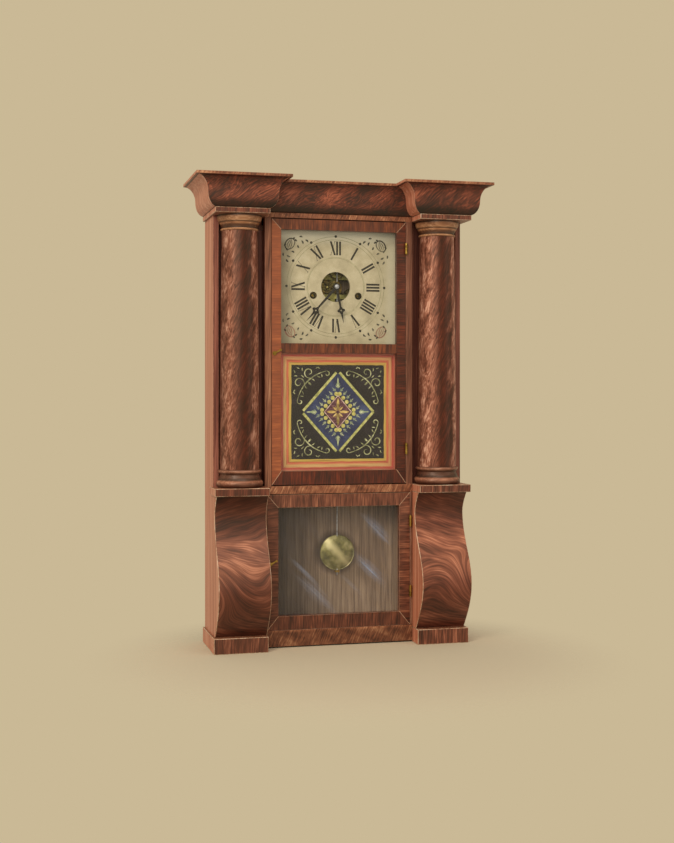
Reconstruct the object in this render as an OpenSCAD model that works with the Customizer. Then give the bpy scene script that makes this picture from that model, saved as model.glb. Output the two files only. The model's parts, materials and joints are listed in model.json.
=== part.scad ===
// Eight-day weight clock for a shelf: a veneered case with scrolls, columns and a block cornice,
// two glazed doors, a painted dial, and a strap-brass movement with pendulum, gong and two weights.
// X runs to the right as seen from the front, Y to the back and Z up, in millimetres.
// The origin is on the surface that the clock stands on, under the middle of its box.
// Depths are measured back from the case's face, the plane of the doors' fronts.

/* [Tiers] */
// Height of the plinth blocks
plinth_h = 27.5; // [20:0.5:40]
// Height of the scroll pilasters
scroll_h = 249; // [200:1:300]
// Thickness of the slab between scroll and column
shelf_t = 13.5; // [10:0.5:20]
// Height of a column with its base and capital
column_h = 481; // [395:1:580]
// Thickness of the slab over the capital
neck_t = 9; // [6:0.5:14]
// Height of the cornice moulding
cyma_h = 53; // [40:1:64]
// Thickness of the board that caps the case
cap_t = 5; // [4:0.5:8]

/* [Case] */
// Width over the case sides
case_w = 462; // [430:1:560]
// Width between the projecting blocks
bay_w = 276; // [262:1:300]
// Thickness of the case sides
side_t = 10; // [8:0.5:14]
// Thickness of the inner boards
board_t = 10; // [8:0.5:12]
// Thickness of the partitions beside the movement
partition_t = 12; // [10:0.5:16]
// Thickness of the backboard
back_t = 7; // [5:0.5:12]
// Depth of the niches behind the columns
niche_d = 31; // [28:0.5:36]
// Thickness of the niche panels
panel_t = 6; // [4:0.5:8]
// Width of the case front that shows beside the lower door
jamb_w = 4; // [3:0.5:6]
// Gap under the bottom rail
floor_gap = 2.5; // [1:0.5:6]
// Height to the top of the bottom rail
base_rail_h = 31.5; // [26:0.5:40]
// How far slabs and plinth stand out beyond the case sides
slab_over = 4; // [2:0.5:8]

/* [Projections] */
// Plinth block in front of the face
plinth_out = 34; // [24:1:44]
// Scroll's head in front of the face
scroll_head_out = 36; // [28:1:44]
// Scroll's hollow in front of the face
scroll_hollow_out = 14; // [10:1:24]
// Scroll's bulge in front of the face
scroll_bulge_out = 63; // [50:1:66]
// Scroll's foot in front of the face
scroll_foot_out = 20; // [14:1:30]
// Drop from the scroll's head to its hollow
scroll_hollow_drop = 38.5; // [30:0.5:48]
// Rise from the scroll's foot to its bulge
scroll_bulge_rise = 84.5; // [70:0.5:100]
// Slab over the scroll in front of the face
shelf_out = 46; // [44:1:56]
// How far back that slab returns along the case side
shelf_return = 17; // [10:1:40]
// Slab over the capital in front of the face
neck_out = 50; // [46:1:60]
// Foot of the cornice moulding inside the slab below it
cyma_inset = 2; // [1:0.5:4]
// Spread of the moulding on a block's front
cyma_front = 22; // [16:1:30]
// Spread of the moulding on a block's sides
cyma_side = 36; // [26:1:44]
// Spread of the moulding between the blocks
cyma_centre = 14; // [8:1:18]
// Height of the moulding's lower, rounded part
cyma_round_h = 25; // [18:1:32]
// Share of the spread that the rounded part takes
cyma_round_part = 0.44; // [0.3:0.02:0.6]
// Cap board beyond the moulding
cap_lip = 2; // [1:0.5:4]

/* [Columns] */
// Column axis behind the face, less than nothing in front of it
column_y = -3; // [-6:0.5:2]
// Shaft's diameter at its foot
shaft_foot_d = 70; // [58:0.5:72]
// Shaft's diameter under the capital
shaft_head_d = 63; // [52:0.5:66]
// Swelling of the shaft's side at mid height
entasis = 0.8; // [0:0.1:2]
// Height of the turned base
base_h = 32; // [24:1:44]
// Largest diameter of the base
base_d = 84; // [74:1:84]
// Height of the turned capital
capital_h = 28; // [20:1:40]
// Largest diameter of the capital
capital_d = 80; // [70:1:82]

/* [Doors] */
// Thickness of the door frames
door_t = 18; // [16:0.5:20]
// Gap round each door
door_gap = 0.8; // [0.5:0.1:1.2]
// Width of the upper door's stiles
upper_stile_w = 17; // [14:0.5:22]
// Width of the lower door's stiles
lower_stile_w = 20; // [16:0.5:26]
// Width of the upper door's top rail
upper_top_w = 18.5; // [14:0.5:26]
// Width of the bar between the dial and the tablet
cross_bar_w = 17; // [12:0.5:24]
// Width of the upper door's bottom rail
upper_foot_w = 24; // [18:0.5:32]
// Height of the opening in front of the dial
dial_opening_h = 204.5; // [200:0.5:212]
// Width of the lower door's top rail
lower_top_w = 23; // [18:0.5:30]
// Width of the lower door's bottom rail
lower_foot_w = 24.5; // [18:0.5:32]
// Height of the rail between the doors
mid_rail_h = 14.5; // [10:0.5:18]
// Depth of the glass behind the door's front
glass_y = 10; // [8:0.5:11]
// Thickness of the glass
glass_t = 2; // [1.5:0.1:3]
// Width of the rebate that holds the glass
rebate_w = 5; // [4:0.5:7]
// Hairline at the mitres of the door frames
mitre_gap = 0.12; // [0.05:0.01:0.3]
// Height of each hinge
hinge_h = 20; // [16:1:26]
// Diameter of the hinge knuckles
knuckle_d = 5; // [4:0.2:5.6]
// Diameter of the hinge pins
hinge_pin_d = 2.2; // [1.6:0.1:2.8]
// Thickness of the hinge leaves
leaf_t = 0.9; // [0.6:0.1:1.2]
// Width of the hinge leaves
leaf_w = 13; // [9:1:15]
// Length of the latch levers
lever_l = 15; // [11:1:18]
// Diameter of the latch spindles
spindle_d = 4; // [3:0.2:5]

/* [Dial] */
// Depth of the dial behind the face
dial_y = 28; // [26:0.5:36]
// Thickness of the dial board
dial_t = 5; // [3:0.5:8]
// Diameter of the open centre
dial_hole_d = 55; // [40:1:66]
// Distance between the two winding holes
winding_w = 85; // [80:1:92]
// Drop from the hands' centre to the winding holes
winding_drop = 16; // [14:1:20]
// Bore of the winding holes
winding_d = 7; // [6:0.5:8]
// Outer diameter of the brass bushes in the winding holes
bush_d = 11; // [9:0.5:14]
// Length of the minute hand
minute_l = 86; // [70:1:92]
// Length of the hour hand
hour_l = 68; // [50:1:82]

/* [Movement] */
// Room for the motion work between the dial and the front plate
motion_room = 19; // [19:0.5:26]
// Thickness of the strap plates
plate_t = 1.8; // [1.4:0.1:2.6]
// Room between the plates
plate_gap = 26.2; // [26.2:0.2:34]
// Thickness of the rails that the movement is fixed to
seat_t = 6.2; // [5:0.2:12]
// Height of the upper pillars above the hands' centre
pillar_up = 62; // [60:1:76]
// Clearance between the great wheel and the pillars
pillar_gap = 3; // [2:0.5:8]
// Width of the straps
strap_w = 8; // [6:0.5:10]
// Radial play of pivots and pins in their holes
play = 0.05; // [0.02:0.01:0.09]
// Pendulum's offset to the right of the hands' centre
pendulum_x = 6.5; // [6.2:0.1:8]
// Tip diameter of the escape wheel
escape_d = 34; // [30:0.5:38]
// Teeth of the escape wheel
escape_n = 42; // [38:4:46]
// Diameter of the winding drums
drum_d = 16.2; // [14:0.2:20]
// Length of the winding drums
drum_l = 14; // [12:0.5:14]

/* [Pendulum] */
// Height of the suspension above the hands' centre
suspend_up = 58; // [56:0.5:62]
// Suspension to the bob's centre
pendulum_l = 546; // [470:1:590]
// Diameter of the bob
bob_d = 64.5; // [50:0.5:80]
// Thickness of the bob
bob_t = 13; // [10:1:16]
// Diameter of the pendulum wire
rod_d = 1.4; // [1.2:0.1:1.8]

/* [Weights] */
// Width of a weight
weight_w = 58; // [44:1:62]
// Depth of a weight
weight_d = 42; // [32:1:44]
// Height of a weight
weight_h = 200; // [150:1:240]
// Diameter of the pulleys at the bottom of the groove
pulley_d = 25; // [20:0.5:28]
// Width of the pulleys
pulley_w = 7; // [6:0.5:9]
// Diameter of the cord
cord_d = 1.5; // [1:0.1:2]

/* [Hidden] */
$fn = 48;
eps = 0.01;

// Heights of the tiers
scroll_z = plinth_h;
shelf_z = scroll_z + scroll_h;
column_z = shelf_z + shelf_t;
neck_z = column_z + column_h;
cyma_z = neck_z + neck_t;
cap_z = cyma_z + cyma_h;

// Depths behind the face
plate_y = dial_y + dial_t + motion_room;
inner_y = plate_y + plate_t;
back_plate_y = inner_y + plate_gap;
seat_y = back_plate_y + plate_t;
back_y = seat_y + seat_t;
case_d = back_y + back_t;

// The box, and the face's place in it
block_foot_out = neck_out - cyma_inset;
cap_out = block_foot_out + cyma_front + cap_lip;
face_y = cap_out - (case_d + cap_out) / 2;

// Widths across the case
side_x = case_w / 2;
inside_x = side_x - side_t;
bay_x = bay_w / 2;
partition_x = bay_x - partition_t;
column_x = (bay_x + side_x) / 2;
slab_x = side_x + slab_over;
cap_x = slab_x - cyma_inset + cyma_side + cap_lip;
cap_inner_x = bay_x + cyma_inset - cyma_side - cap_lip;
channel_y = (niche_d + panel_t + back_y) / 2;

// Door sizes and places
upper_door_x = partition_x - door_gap;
lower_door_x = bay_x - jamb_w - door_gap;
upper_door_z = [column_z + 2, neck_z - 2];
lower_door_z = [base_rail_h + 0.6, column_z - mid_rail_h - 1.2];
dial_opening_z = upper_door_z[1] - upper_top_w - dial_opening_h;
hinge_off = knuckle_d / 2 + 0.2;
knuckle_n = 3;
hinge_top_drop = 38;
hinge_foot_rise = 53;
lower_hinge_drop = 42;
lower_hinge_rise = 52;
latch_inset = 4.8;
tongue_l = latch_inset + door_gap + 2.8;
latches = [
    [-upper_door_x + latch_inset, dial_opening_z - cross_bar_w - 1],
    [-lower_door_x + latch_inset, (lower_door_z[0] + lower_door_z[1]) / 2 - 3]
];
bevel = 1.1;

// The hands' centre and the pivots of the movement, as [x, z]
dial_z = dial_opening_z + dial_opening_h / 2 + 2.75;
dial_half = [partition_x - board_t / 2, dial_opening_h / 2 + 1.5];
centre = [0, dial_z];
time_arbor = [winding_w / 2, dial_z - winding_drop];
strike_arbor = [-winding_w / 2, dial_z - winding_drop];
suspension = [pendulum_x, dial_z + suspend_up];
verge_pin = [pendulum_x, dial_z + suspend_up - 6];

// Wheel trains: tooth counts, then modules
great_n = 96;
centre_n = 64;
third_n = 58;
strike_n = 78;
pin_n = 60;
lantern_n = 8;
cannon_n = 12;
minute_n = 36;
minute_pinion_n = 10;
hour_n = 40;
great_m = 2 * norm(time_arbor - centre) / (great_n + lantern_n);
centre_m = 0.6;
third_m = 0.5;
pin_m = 0.55;
cannon_m = 0.6;
hour_m = cannon_m * (cannon_n + minute_n) / (minute_pinion_n + hour_n);

// Escapement: the pallets span a whole number of teeth and a half
escape_r = escape_d / 2;
span_a = 360 / escape_n * 4.25;
pallet_gap = 0.75;
escape_arbor = verge_pin - [0, escape_r / cos(span_a)];
third_arbor = meet(centre, centre_m * (centre_n + lantern_n) / 2,
                   escape_arbor, third_m * (third_n + lantern_n) / 2);
pin_arbor = strike_arbor + polar(great_m * (strike_n + lantern_n) / 2, 70);
fly_arbor = pin_arbor + polar(pin_m * (pin_n + lantern_n) / 2, 120);
minute_arbor = centre - [cannon_m * (cannon_n + minute_n) / 2, 0];
pillar_d = 5;
great_r = great_m * (great_n / 2 + 0.75);
pillar_foot = time_arbor + polar(great_r + pillar_d / 2 + pillar_gap, -60.8);
pillar_x = pillar_foot[0];
pillar_z = [pillar_foot[1], dial_z + pillar_up];
hammer_arbor = [6 - pillar_x, dial_z + 39];

// Where each wheel lies between the plates
great_y = back_plate_y - 6;
great_t = 2.2;
great_pinion_y = [back_plate_y - 7.5, back_plate_y - 2];
centre_wheel_y = inner_y + 6.4;
third_pinion_y = [inner_y + 3.4, inner_y + 9.6];
third_wheel_y = inner_y + 11.2;
escape_pinion_y = [inner_y + 8.7, inner_y + 15.2];
escape_wheel_y = plate_y - 4.6;
pin_wheel_y = back_plate_y - 10.5;
fly_pinion_y = [back_plate_y - 12.5, back_plate_y - 7.5];
wheel_t = 1.2;
lift_pin_l = 3;
lift_pin_n = 6;
lift_pin_r = 12;
rod_y = plate_y - 8;
drum_y = channel_y - drum_l / 2;
drum_flange_t = 0.9;
drum_flange_d = 24;
ratchet_d = 18;
ratchet_n = 20;
ratchet_t = 1.5;
square_d = 3.4;
arbor_d = 5;

// Motion work in front of the plate
hour_wheel_y = dial_y + dial_t + 1.6;
cannon_y = hour_wheel_y + 3.6;
motion_t = 1.5;
minute_hand_y = glass_y + glass_t + 7.2;
hour_hand_y = minute_hand_y + 2.6;
hand_t = 0.8;
centre_d = 3;
cannon_d = 4.4;
hour_pipe_d = 7.2;
minute_a = 222;
hour_a = 168.5;

// Pendulum below the suspension
bob_z = suspension[1] - pendulum_l;
thread_d = 2;
nut_h = 4;
nut_d = 10;
nut_z = bob_z - bob_d / 2 - nut_h - 0.3;
rod_foot_z = nut_z - 5;

// Weights, pulleys and cords
groove_r = pulley_d / 2;
rim_r = groove_r + 2.4;
cord_r = groove_r + cord_d / 2 + 0.05;
wheel_axle_d = 3;
weight_x = (bay_x + inside_x) / 2;
fall_x = weight_x - cord_r;
top_pulley_x = fall_x - cord_r;
top_pulley_z = neck_z - 10.5;
floor_z = board_t + 4;
weight_foot_z = floor_z + 0.3;
weight_pulley_z = weight_foot_z + weight_h + 26;
pulley_board_z = top_pulley_z - 9.5;
drum_cord_r = drum_d / 2 + cord_d / 2 + 0.05;

// A cord's straight run: the angle of the radius where it leaves the drum, the point where it
// meets the top pulley, and where it crosses the underside of the pulley board
top_pulley = [top_pulley_x, top_pulley_z];
run_a = heading(time_arbor, top_pulley) - acos((cord_r + drum_cord_r) / norm(top_pulley - time_arbor));
run_end = top_pulley + polar(cord_r, run_a + 180);
run_cross_x = run_end[0] - (run_end[1] - pulley_board_z) / tan(run_a + 90);

// Gong
gong_centre = [4, dial_z - 136];
gong_r = [9, 46];
gong_turns = 3.5;
gong_wire_d = 2.6;
gong_y = back_y - 10;

mahogany = "#6b3222";
mahogany_light = "#b5785a";
pine = "#a98a64";
brass = "#b79a4e";
steel = "#5c6066";
iron = "#4a4746";
black = "#1c1a18";
cream = "#d6c9a4";
cord_colour = "#b9ac8c";

// Point at a radius and an angle from +X
function polar(r, a) = [r * cos(a), r * sin(a)];

// Crossing of two circles, on the left of the line from the first centre to the second
function meet(p, rp, q, rq) =
    let (d = norm(q - p), u = (q - p) / d, a = (rp * rp - rq * rq + d * d) / (2 * d),
         h = sqrt(rp * rp - a * a))
    p + a * u + h * [-u[1], u[0]];

function heading(p, q) = atan2(q[1] - p[1], q[0] - p[0]);

// Corners of a rectangle with rounded corners about the origin
function rounded(w, d, r, steps = 5) = [
    for (k = [0:3]) let (cx = (k == 0 || k == 3 ? 1 : -1) * (w / 2 - r), cy = (k < 2 ? 1 : -1) * (d / 2 - r))
        for (i = [0:steps]) [cx, cy] + polar(r, 90 * k + 90 * i / steps)
];

// Outline of a clock wheel: each tooth narrows from root to pitch circle to tip
function tooth(r, m, a, p) = [
    polar(r - m, a - 0.25 * p), polar(r, a - 0.19 * p), polar(r + 0.75 * m, a - 0.08 * p),
    polar(r + 0.75 * m, a + 0.08 * p), polar(r, a + 0.19 * p), polar(r - m, a + 0.25 * p)
];
function wheel_outline(n, m) = [for (i = [0:n - 1]) each tooth(m * n / 2, m, 360 / n * i, 360 / n)];

// Outline of a wheel with raked teeth, for the escapement and the ratchets
function raked_outline(n, r, depth, rake) = [
    for (i = [0:n - 1]) each [
        polar(r - depth, 360 / n * (i - 0.42) + rake), polar(r, 360 / n * (i - 0.04)),
        polar(r, 360 / n * (i + 0.04)), polar(r - depth, 360 / n * (i + 0.12) + rake)
    ]
];

// Front profile of a scroll: a quarter wave from head to hollow, a half wave to the bulge
// and a quarter wave to the foot
scroll_top_z = shelf_z;
hollow_z = scroll_top_z - scroll_hollow_drop;
bulge_z = scroll_z + scroll_bulge_rise;
function scroll_out(z) =
    z > hollow_z ? scroll_hollow_out + (scroll_head_out - scroll_hollow_out)
                   * (1 - cos(90 * (z - hollow_z) / scroll_hollow_drop)) :
    z > bulge_z ? scroll_hollow_out + (scroll_bulge_out - scroll_hollow_out)
                  * (1 - cos(180 * (hollow_z - z) / (hollow_z - bulge_z))) / 2 :
    scroll_bulge_out - (scroll_bulge_out - scroll_foot_out)
                       * (1 - cos(90 * (bulge_z - z) / scroll_bulge_rise));
scroll_steps = 40;

// Profile of the cornice moulding as [spread, height]: a quarter ellipse that rounds out,
// then one that hollows out to the cap
cyma_steps = 10;
function cyma(w) = let (a = w * cyma_round_part, b = w - a, c = cyma_round_h, d = cyma_h - c) concat(
    [for (i = [0:cyma_steps]) let (t = 90 * i / cyma_steps) [a * sin(t), c * (1 - cos(t))]],
    [for (i = [1:cyma_steps]) let (t = 90 * i / cyma_steps) [a + b * (1 - cos(t)), c + d * sin(t)]]
);
function reversed(v) = [for (i = [len(v) - 1:-1:0]) v[i]];

// Points of the shaft's side from foot to head, with a slight swelling
shaft_steps = 16;
function shaft_side(z0, z1) = [
    for (i = [0:shaft_steps]) let (t = i / shaft_steps)
        [(shaft_foot_d + (shaft_head_d - shaft_foot_d) * t) / 2 + entasis * sin(180 * t), z0 + (z1 - z0) * t]
];

module at_face() {
    translate([0, face_y, 0]) children();
}

module both_sides() {
    children();
    mirror([1, 0, 0]) children();
}

// A box between two corners
module bar(x, y, z) {
    translate([x[0], y[0], z[0]]) cube([x[1] - x[0], y[1] - y[0], z[1] - z[0]]);
}

// An outline in X and Z, made solid from depth y to y + t
module slice_y(y, t) {
    translate([0, y + t, 0]) rotate([90, 0, 0]) linear_extrude(t) children();
}

// An outline in Y and Z, made solid from x to x + w
module slice_x(x, w) {
    translate([x, 0, 0]) rotate([90, 0, 90]) linear_extrude(w) children();
}

// A round bar along Y at p
module pin_y(p, y, d) {
    translate([p[0], y[0], p[1]]) rotate([-90, 0, 0]) cylinder(h = y[1] - y[0], d = d);
}

module disc_at(p, d) {
    translate(p) circle(d = d);
}

// A flat strap between two points
module strap(p, q, w) {
    translate(p) rotate(heading(p, q)) translate([0, -w / 2]) square([norm(q - p), w]);
}

module case_sides() {
    at_face() color(mahogany_light) both_sides()
        bar([inside_x, side_x], [0, case_d], [0, cap_z]);
}

module backboard() {
    at_face() color(pine)
        bar([-inside_x, inside_x], [back_y, case_d], [floor_gap, cap_z]);
}

// Bottom board, and the board under the cornice with the slots that the top pulleys turn in
module end_boards() {
    slot_x = rim_r + 1.6;
    cord_x = min(bay_x - 12, run_cross_x - cord_d - 1);
    slot_y = pulley_w / 2 + 1.2;
    at_face() color(pine) {
        bar([-inside_x, inside_x], [door_t, back_y], [floor_z - board_t, floor_z]);
        difference() {
            bar([-inside_x, inside_x], [niche_d + panel_t, back_y],
                [pulley_board_z, pulley_board_z + board_t - 0.5]);
            both_sides() {
                bar([cord_x, top_pulley_x + slot_x], [channel_y - slot_y, channel_y + slot_y],
                    [pulley_board_z - 1, pulley_board_z + board_t]);
                pin_y(top_pulley,
                      [channel_y - axle_l / 2 - 0.3, channel_y + axle_l / 2 + 0.3], wheel_axle_d + 2 * play);
                translate([fall_x + 2 * cord_r, channel_y, pulley_board_z - 1])
                    cylinder(h = board_t + 2, d = cord_d + 1);
            }
        }
    }
}

// Boards between the movement's bay and the weights: the front edge shows beside the upper door,
// a thin lip shows beside the lower one, and the top is cut back where the cord crosses
module partitions() {
    cut_z = time_arbor[1] + 62;
    at_face() color(mahogany) difference() {
        both_sides() {
            bar([partition_x, bay_x], [door_t, back_y], [floor_z, pulley_board_z]);
            bar([partition_x, bay_x], [0, door_t], [column_z, neck_z]);
            bar([lower_door_x + door_gap, bay_x], [0, door_t], [base_rail_h, column_z - mid_rail_h]);
        }
        both_sides()
            bar([partition_x - 1, bay_x + 1], [channel_y - 14, channel_y + 14], [cut_z, neck_z]);
        partition_cuts();
    }
}

// Hinge recesses on the right, and recesses on the left that the latch tongues turn in
module partition_cuts() {
    for (z = hinge_zs(upper_door_z, hinge_top_drop, hinge_foot_rise))
        bar([partition_x - 1, partition_x + leaf_t + 0.05], [-1, leaf_w + 0.3], [z - 0.1, z + hinge_h + 0.1]);
    for (z = hinge_zs(lower_door_z, lower_hinge_drop, lower_hinge_rise))
        bar([lower_door_x, lower_door_x + door_gap + leaf_t + 0.05], [-1, leaf_w + 0.3],
            [z - 0.1, z + hinge_h + 0.1]);
    for (p = latches)
        bar([p[0] - tongue_l - 0.6, -partition_x + 1], [door_t, door_t + 2.4],
            [p[1] - 3.6, p[1] + tongue_l + 1]);
}

// Lower ends of a door's two hinges
function hinge_zs(span, drop, rise) = [span[1] - drop - hinge_h, span[0] + rise];

module niche_panels() {
    at_face() color(mahogany) both_sides()
        bar([bay_x, inside_x], [niche_d, niche_d + panel_t], [column_z, cyma_z]);
}

// Rails across the front: under the lower door, between the doors and under the cornice
module front_rails() {
    at_face() color(mahogany) {
        bar([-bay_x, bay_x], [0, door_t], [floor_gap, base_rail_h]);
        bar([-bay_x, bay_x], [0, door_t - 0.3], [column_z - mid_rail_h, column_z]);
        bar([-bay_x, bay_x], [0, door_t], [neck_z, cyma_z]);
    }
}

// Plinth blocks, each with a strip that returns along the case side
module plinth_blocks() {
    at_face() color(mahogany) both_sides() {
        bar([bay_x, slab_x], [-plinth_out, 0], [0, plinth_h]);
        bar([side_x, slab_x], [-eps, case_d], [0, plinth_h]);
    }
}

module scrolls() {
    side = [for (i = [0:scroll_steps]) let (z = scroll_z + scroll_h * i / scroll_steps) [-scroll_out(z), z]];
    at_face() color(mahogany) both_sides()
        slice_x(bay_x, side_x - bay_x) polygon(concat([[0, scroll_z]], side, [[0, scroll_top_z]]));
}

// Slabs under and over the columns: each closes the niche and returns along the case side
module column_slab(out, back, z) {
    bar([bay_x, slab_x], [-out, 0], z);
    bar([bay_x, inside_x], [-eps, niche_d], z);
    bar([side_x, slab_x], [-eps, back], z);
}

module column_slabs() {
    at_face() color(mahogany) both_sides() {
        column_slab(shelf_out, shelf_return, [shelf_z, column_z]);
        column_slab(neck_out, case_d, [neck_z, cyma_z]);
    }
}

module at_column() {
    translate([column_x, column_y, 0]) children();
}

// A turned piece, trimmed flat where it stands against the niche panel and the case side
module in_niche(z0, z1) {
    difference() {
        at_column() children();
        bar([bay_x, side_x], [niche_d, case_d], [z0 - 1, z1 + 1]);
        bar([inside_x, side_x], [0, case_d], [z0 - 1, z1 + 1]);
    }
}

// Turned base: torus, hollow and upper ring
module column_bases() {
    torus_r = 7;
    ring_r = 2.8;
    base_r = base_d / 2;
    shaft_r = shaft_foot_d / 2;
    top = column_z + base_h;
    torus = [base_r - torus_r, column_z + torus_r];
    ring = [shaft_r + 1.2, top - ring_r];
    at_face() color(mahogany) both_sides() in_niche(column_z, top) rotate_extrude()
        polygon(concat(
            [[0, column_z], [torus[0], column_z]],
            [for (a = [-75:15:60]) torus + polar(torus_r, a)],
            [[base_r - 5.5, column_z + base_h * 0.56], [shaft_r - 0.2, column_z + base_h * 0.7]],
            [for (a = [-60:20:80]) ring + polar(ring_r, a)],
            [[ring[0], top], [0, top]]
        ));
}

module column_shafts() {
    z0 = column_z + base_h;
    z1 = neck_z - capital_h;
    at_face() color(mahogany) both_sides() in_niche(z0, z1) rotate_extrude($fn = 96)
        polygon(concat([[0, z0]], shaft_side(z0, z1), [[0, z1]]));
}

// Turned capital: ring, swelling neck and a wide rounded head
module column_capitals() {
    z0 = neck_z - capital_h;
    ring_r = 2.2;
    head_h = capital_h * 0.42;
    step_z = z0 + 2 * ring_r;
    head_z = neck_z - head_h;
    at_face() color("#96602f") both_sides() in_niche(z0, neck_z) rotate_extrude() {
        translate([shaft_head_d / 2, z0 + ring_r]) circle(ring_r);
        translate([0, z0]) square([shaft_head_d / 2, 2 * ring_r]);
        polygon(concat([[0, step_z - 0.5]], [for (i = [0:6]) let (t = i / 6)
            [shaft_head_d / 2 + 0.4 + (capital_d - shaft_head_d) / 2 * 0.62 * (1 - cos(90 * t)),
             step_z - 0.5 + (head_z - step_z + 0.5) * t]], [[0, head_z]]));
        polygon(concat([[0, head_z]], [for (i = [0:8]) let (t = i / 8)
            [capital_d / 2 - 3.2 + 3.2 * sin(90 * t), head_z + head_h * 0.72 * t]],
            [[capital_d / 2, neck_z], [0, neck_z]]));
    }
}

// The moulding's outline on one block, in X and Z: both sides spread towards the cap
module block_outline() {
    p = cyma(cyma_side);
    left = [for (q = reversed(p)) [bay_x + cyma_inset - q[0], cyma_z + q[1]]];
    right = [for (q = p) [slab_x - cyma_inset + q[0], cyma_z + q[1]]];
    polygon(concat(left, right));
}

// The moulding's outline from the side, in Y and Z, for a foot and a spread
module front_outline(foot, spread, back) {
    polygon(concat([[back, cyma_z]], [for (q = cyma(spread)) [-foot - q[0], cyma_z + q[1]]], [[back, cap_z]]));
}

// Cornice blocks: the front moulding is mitred with a return on the inside, and with one on the
// outside that runs to the back of the case
module cornice_blocks() {
    at_face() color(mahogany) both_sides() difference() {
        intersection() {
            slice_y(-cap_out - 1, cap_out + case_d + 1) block_outline();
            slice_x(cap_inner_x - 1, cap_x - cap_inner_x + 2) front_outline(block_foot_out, cyma_front, case_d);
        }
        bar([0, side_x], [0, case_d + 1], [cyma_z - 1, cap_z + 1]);
    }
}

// The stretch between the blocks, coped to fit against their inner returns
module cornice_centre() {
    fit = 0.05;
    p = cyma(cyma_side);
    right = [for (q = p) [bay_x + cyma_inset - q[0] - fit, cyma_z + q[1]]];
    left = [for (q = reversed(p)) [-(bay_x + cyma_inset - q[0] - fit), cyma_z + q[1]]];
    at_face() color(mahogany) intersection() {
        slice_y(-cyma_centre - 1, cyma_centre + door_t + 1) polygon(concat(left, right));
        slice_x(-bay_x - 5, bay_w + 10) front_outline(0, cyma_centre, door_t);
    }
}

// One board caps blocks and centre and follows their outline
module cap_board() {
    centre_out = cyma_centre + cap_lip;
    at_face() color(mahogany) translate([0, 0, cap_z]) linear_extrude(cap_t) polygon([
        [-cap_x, case_d], [-cap_x, -cap_out], [-cap_inner_x, -cap_out], [-cap_inner_x, -centre_out],
        [cap_inner_x, -centre_out], [cap_inner_x, -cap_out], [cap_x, -cap_out], [cap_x, case_d]
    ]);
}

// Strips that carry the dial, and the two rails that the movement is fixed to
module inner_rails() {
    strip_w = 14;
    at_face() color(pine) {
        both_sides()
            bar([partition_x - strip_w, partition_x], [dial_y + dial_t, dial_y + dial_t + 9],
                [dial_z - dial_half[1], min(dial_z + dial_half[1], pulley_board_z)]);
        for (z = pillar_z)
            bar([-partition_x, partition_x], [seat_y, back_y], [z - 11, z + 11]);
    }
}

// A frame member whose two ends are mitred: outer edge from a to b, inner edge from c to d
module member(a, b, c, d) {
    slice_y(0, door_t) polygon([a, b, d, c]);
}

// Four mitred members round an opening, with a hairline at each mitre
module mitred_frame(x, z, stile, top, foot) {
    g = mitre_gap;
    both_sides()
        member([x, z[0] + g], [x, z[1] - g], [x - stile, z[0] + foot + g], [x - stile, z[1] - top - g]);
    member([-x + g, z[0]], [x - g, z[0]], [-x + stile + g, z[0] + foot], [x - stile - g, z[0] + foot]);
    member([-x + g, z[1]], [x - g, z[1]], [-x + stile + g, z[1] - top], [x - stile - g, z[1] - top]);
}

// Cuts for the door leaves of a door's hinges and for its latch, and the bevel that lets
// the back of its free edge swing past the case
module door_cuts(x, z, drop, rise, latch) {
    for (h = hinge_zs(z, drop, rise))
        bar([x - leaf_t - 0.05, x + 1], [-1, leaf_w + 0.3], [h - 0.1, h + hinge_h + 0.1]);
    pin_y(latch, [-1, door_t + 1], spindle_d + 2 * play);
    translate([0, 0, z[0] - 1]) linear_extrude(z[1] - z[0] + 2)
        polygon([[-x - 1, 3], [-x, 3], [-x + bevel, door_t + 0.5], [-x - 1, door_t + 0.5]]);
}

module rebate(x, z, w) {
    bar([-x - w, x + w], [glass_y, door_t + 1], [z[0] - w, z[1] + w]);
}

module upper_door_frame() {
    x = upper_door_x;
    z = upper_door_z;
    open_x = x - upper_stile_w;
    bar_z = [dial_opening_z - cross_bar_w, dial_opening_z];
    at_face() color(mahogany) difference() {
        union() {
            mitred_frame(x, z, upper_stile_w, upper_top_w, upper_foot_w);
            bar([-open_x + mitre_gap, open_x - mitre_gap], [0, door_t], bar_z);
        }
        rebate(open_x, [bar_z[1], z[1] - upper_top_w], rebate_w);
        rebate(open_x, [z[0] + upper_foot_w, bar_z[0]], rebate_w);
        door_cuts(x, z, hinge_top_drop, hinge_foot_rise, latches[0]);
    }
}

module lower_door_frame() {
    x = lower_door_x;
    z = lower_door_z;
    at_face() color(mahogany) difference() {
        mitred_frame(x, z, lower_stile_w, lower_top_w, lower_foot_w);
        rebate(x - lower_stile_w, [z[0] + lower_foot_w, z[1] - lower_top_w], rebate_w);
        door_cuts(x, z, lower_hinge_drop, lower_hinge_rise, latches[1]);
    }
}

// A pane that lies in its rebate
module pane(x, z) {
    w = rebate_w - 0.4;
    bar([-x - w, x + w], [glass_y, glass_y + glass_t], [z[0] - w, z[1] + w]);
}

module dial_glass() {
    at_face() color("#cfd8d2")
        pane(upper_door_x - upper_stile_w, [dial_opening_z, upper_door_z[1] - upper_top_w]);
}

module tablet_glass() {
    at_face() color("#2a2a38")
        pane(upper_door_x - upper_stile_w, [upper_door_z[0] + upper_foot_w, dial_opening_z - cross_bar_w]);
}

module pendulum_glass() {
    at_face() color("#b9c0c0")
        pane(lower_door_x - lower_stile_w, [lower_door_z[0] + lower_foot_w, lower_door_z[1] - lower_top_w]);
}

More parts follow.
